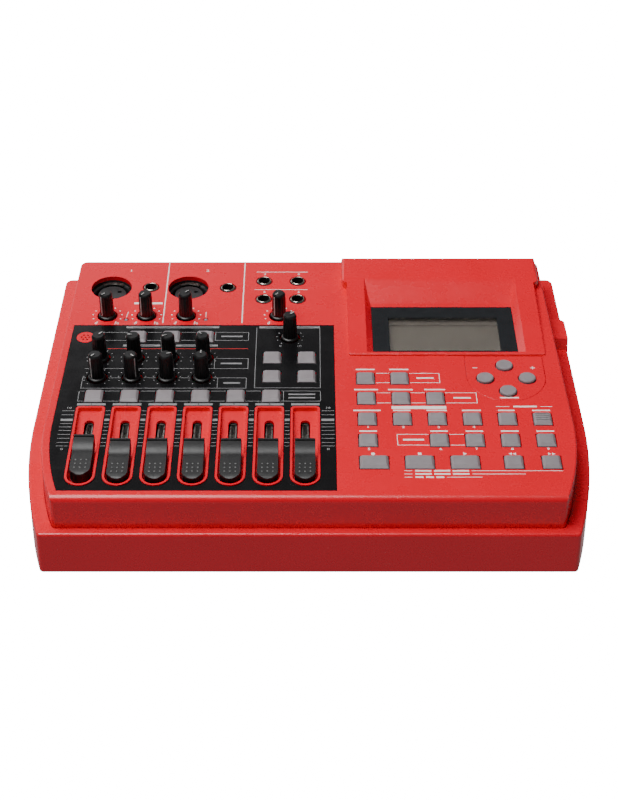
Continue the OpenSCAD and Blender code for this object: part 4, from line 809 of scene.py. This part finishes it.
def fader_channels():
    """The channel that each fader lever runs in, two rails and a stop, seen through the slot."""
    inside, outside, bottom = 1.05, 1.75, -10.85
    bm = bmesh.new()
    for u in FADER_U:
        slab(bm, u - outside, 19.5, u - inside, 59.4, bottom, -5.2)
        slab(bm, u + inside, 19.5, u + outside, 59.4, bottom, -5.2)
        slab(bm, u - 1.45, 59.6, u + 1.45, 60.4, bottom, -4.6)
    round_edges(bm, sharp_edges(bm, BLOCK_EDGE), 0.08, 1)
    finished("slide_pot_rails", bm, STEEL)


def knobs():
    """Knobs with a pale pointer line over the top and down the side."""
    for node, (u, v, turn) in KNOBS.items():
        softened(node, 0.14, KNOB_BLACK)
        # the part on the top, then the part down the side
        bm = bmesh.new()
        slab(bm, -0.34, 0.5, 0.34, 3.0, KNOB_HIGH - 0.2, KNOB_HIGH + 0.3)
        slab(bm, -0.3, 3.2, 0.3, 3.8, 2.0, KNOB_HIGH - 1.15)
        round_edges(bm, sharp_edges(bm, BLOCK_EDGE), 0.06, 1)
        bmesh.ops.transform(bm, verts=bm.verts, matrix=Matrix.Translation((u, v, 0))
                            @ Matrix.Rotation(math.radians(-turn), 4, "Z"))
        finished(node + "_line", bm, POINTER, node)


def jacks():
    """Jack bushings: a bright turned rim round a bore coloured black below the deck, which is
    partly the jack's black housing and partly painted shade.
    """
    clear_of_deck = 0.2
    bm = from_cad("jack_sockets")

    def bushing_rim(edge):
        return all((TO_DECK @ end.co).z > clear_of_deck for end in edge.verts)

    round_edges(bm, sharp_edges(bm, 30, bushing_rim), 0.16 * MM, 2)
    # faces below the deck are coloured black: painted shade in the bore, over the jack's black
    # housing
    for face in bm.faces:
        middle = TO_DECK @ face.calc_center_median()
        if middle.z < -clear_of_deck:
            face.material_index = 1
    in_place_of("jack_sockets", "_turned", bm, CHROME, "case", more=[BORE_BLACK_AND_SHADE])


def microphone_sockets():
    """Round sockets: black shell and insert, a dull plated ring and the latch's plate behind."""
    ring = [(11.1, -0.05), (11.1, 0.12), (10.75, 0.2), (10.5, -0.05)]
    latch = [(10.9, -0.1), (10.9, 0.7), (10.7, 0.9), (9.2, 0.75), (8.9, 0.4), (8.9, -0.1)]
    softened("microphone_sockets", 0.15, SOCKET_BLACK, "case")
    bm = bmesh.new()
    for u, v in MIC_SOCKETS:
        turned(bm, u, v, -MIC_SINK, ring, 72)
        turned(bm, u, v, -MIC_SINK, latch, 16, degrees=68, start=56)
    finished("microphone_socket_rings", bm, DULL_NICKEL)


def display():
    """The display: a clear pane in a border that is black behind, over the grey screen."""
    clear, seam = 0.1, 0.02
    left, right, front, rear = 34.4 + clear, 112.3 - clear, 114.19 + clear, 160.89 - clear
    pane_left, pane_right, pane_front, pane_rear = 43.5, 103.2, 119.0, 149.6
    bottom, top = -3.08, -1.62
    bm = bmesh.new()
    slab(bm, left, front, pane_left, rear, bottom, top)
    slab(bm, pane_right, front, right, rear, bottom, top)
    slab(bm, pane_left, front, pane_right, pane_front, bottom, top)
    slab(bm, pane_left, pane_rear, pane_right, rear, bottom, top)
    bmesh.ops.remove_doubles(bm, verts=bm.verts, dist=0.001)
    finished("window_border", bm, BORDER_BLACK, stands_for=["display_window"])
    bm = bmesh.new()
    slab(bm, pane_left + seam, pane_front + seam, pane_right - seam, pane_rear - seam, bottom, top)
    finished("window_pane", bm, ACRYLIC, stands_for=["display_window"])


# Camera, floor and light. Lengths here are in metres.

# The photograph's view: its focal length and its width are both in pixels.
CAMERA_PLACE = (0, -0.76383, 0.49371)
CAMERA_PITCH = math.radians(59)
FOCAL_LENGTH, PICTURE_WIDTH = 1665, 618
SENSOR_MM = 36
FLOOR_REACH = 4
# The floor glows, so it is white in every view, and lights nothing else.
FLOOR_GLOW = 16.0
# The room throws light back from its pale floor, and is dim above the horizon.
ROOM_BELOW, ROOM_ABOVE = 0.42, 0.1
HORIZON = (-0.1, 0.05)
# Soft lights: name, place, width, height and power in watts. All face the recorder.
LIGHTS = (
    ("card_behind", (-0.62, 1.2, 0.55), 1.35, 1.0, 4.4),
    ("softbox_above", (-0.45, -0.15, 1.4), 1.2, 1.0, 33),
)
RECORDER_MIDDLE = Vector((0, 0, 0.05))


def camera():
    """The photograph's view."""
    view = put_in_scene("camera", bpy.data.cameras.new("camera"))
    view.location = CAMERA_PLACE
    view.rotation_euler = (CAMERA_PITCH, 0, 0)
    view.data.sensor_fit = "HORIZONTAL"
    view.data.sensor_width = SENSOR_MM
    view.data.lens = FOCAL_LENGTH / PICTURE_WIDTH * SENSOR_MM
    bpy.context.scene.camera = view


def pale_floor():
    """The studio floor: matt white paper, evenly lit."""
    bm = bmesh.new()
    bmesh.ops.create_grid(bm, x_segments=1, y_segments=1, size=FLOOR_REACH)
    new = started("pale_floor", Roughness=0.9, Emission_Color=(1, 1, 1, 1),
                  Emission_Strength=FLOOR_GLOW)
    mottled(new, "#f4f4f4", "#f8f8f8", 300)
    floor = put_in_scene("floor", mesh_of("floor", bm, [new.material]))
    floor.visible_diffuse = False
    floor.visible_glossy = False


def room_light():
    """The light that comes from the room, by its direction."""
    world = bpy.data.worlds.new("studio")
    world.use_nodes = True
    tree = world.node_tree
    background = tree.nodes["Background"]
    background.inputs["Color"].default_value = (1, 1, 1, 1)
    facing = add(tree, "ShaderNodeTexCoord").outputs["Generated"]
    upward = add(tree, "ShaderNodeSeparateXYZ", {}, {"Vector": facing}).outputs["Z"]
    room = add(tree, "ShaderNodeMapRange", {"From Min": HORIZON[0], "From Max": HORIZON[1],
                                            "To Min": ROOM_BELOW, "To Max": ROOM_ABOVE},
               {"Value": upward})
    tree.links.new(room.outputs["Result"], background.inputs["Strength"])
    bpy.context.scene.world = world


def soft_light(name, place, wide, high, power):
    """A rectangular soft light that faces the recorder."""
    lamp = bpy.data.lights.new(name, "AREA")
    lamp.shape = "RECTANGLE"
    lamp.size = wide
    lamp.size_y = high
    lamp.energy = power
    obj = put_in_scene(name, lamp)
    obj.location = place
    obj.rotation_euler = (RECORDER_MIDDLE - Vector(place)).to_track_quat("-Z", "Y").to_euler()


dress_cad_nodes()
case_mouldings()
keys()
fader_caps()
fader_channels()
knobs()
jacks()
microphone_sockets()
display()
print_on_deck()
print_on_panel()
camera()
pale_floor()
room_light()
for light in LIGHTS:
    soft_light(*light)
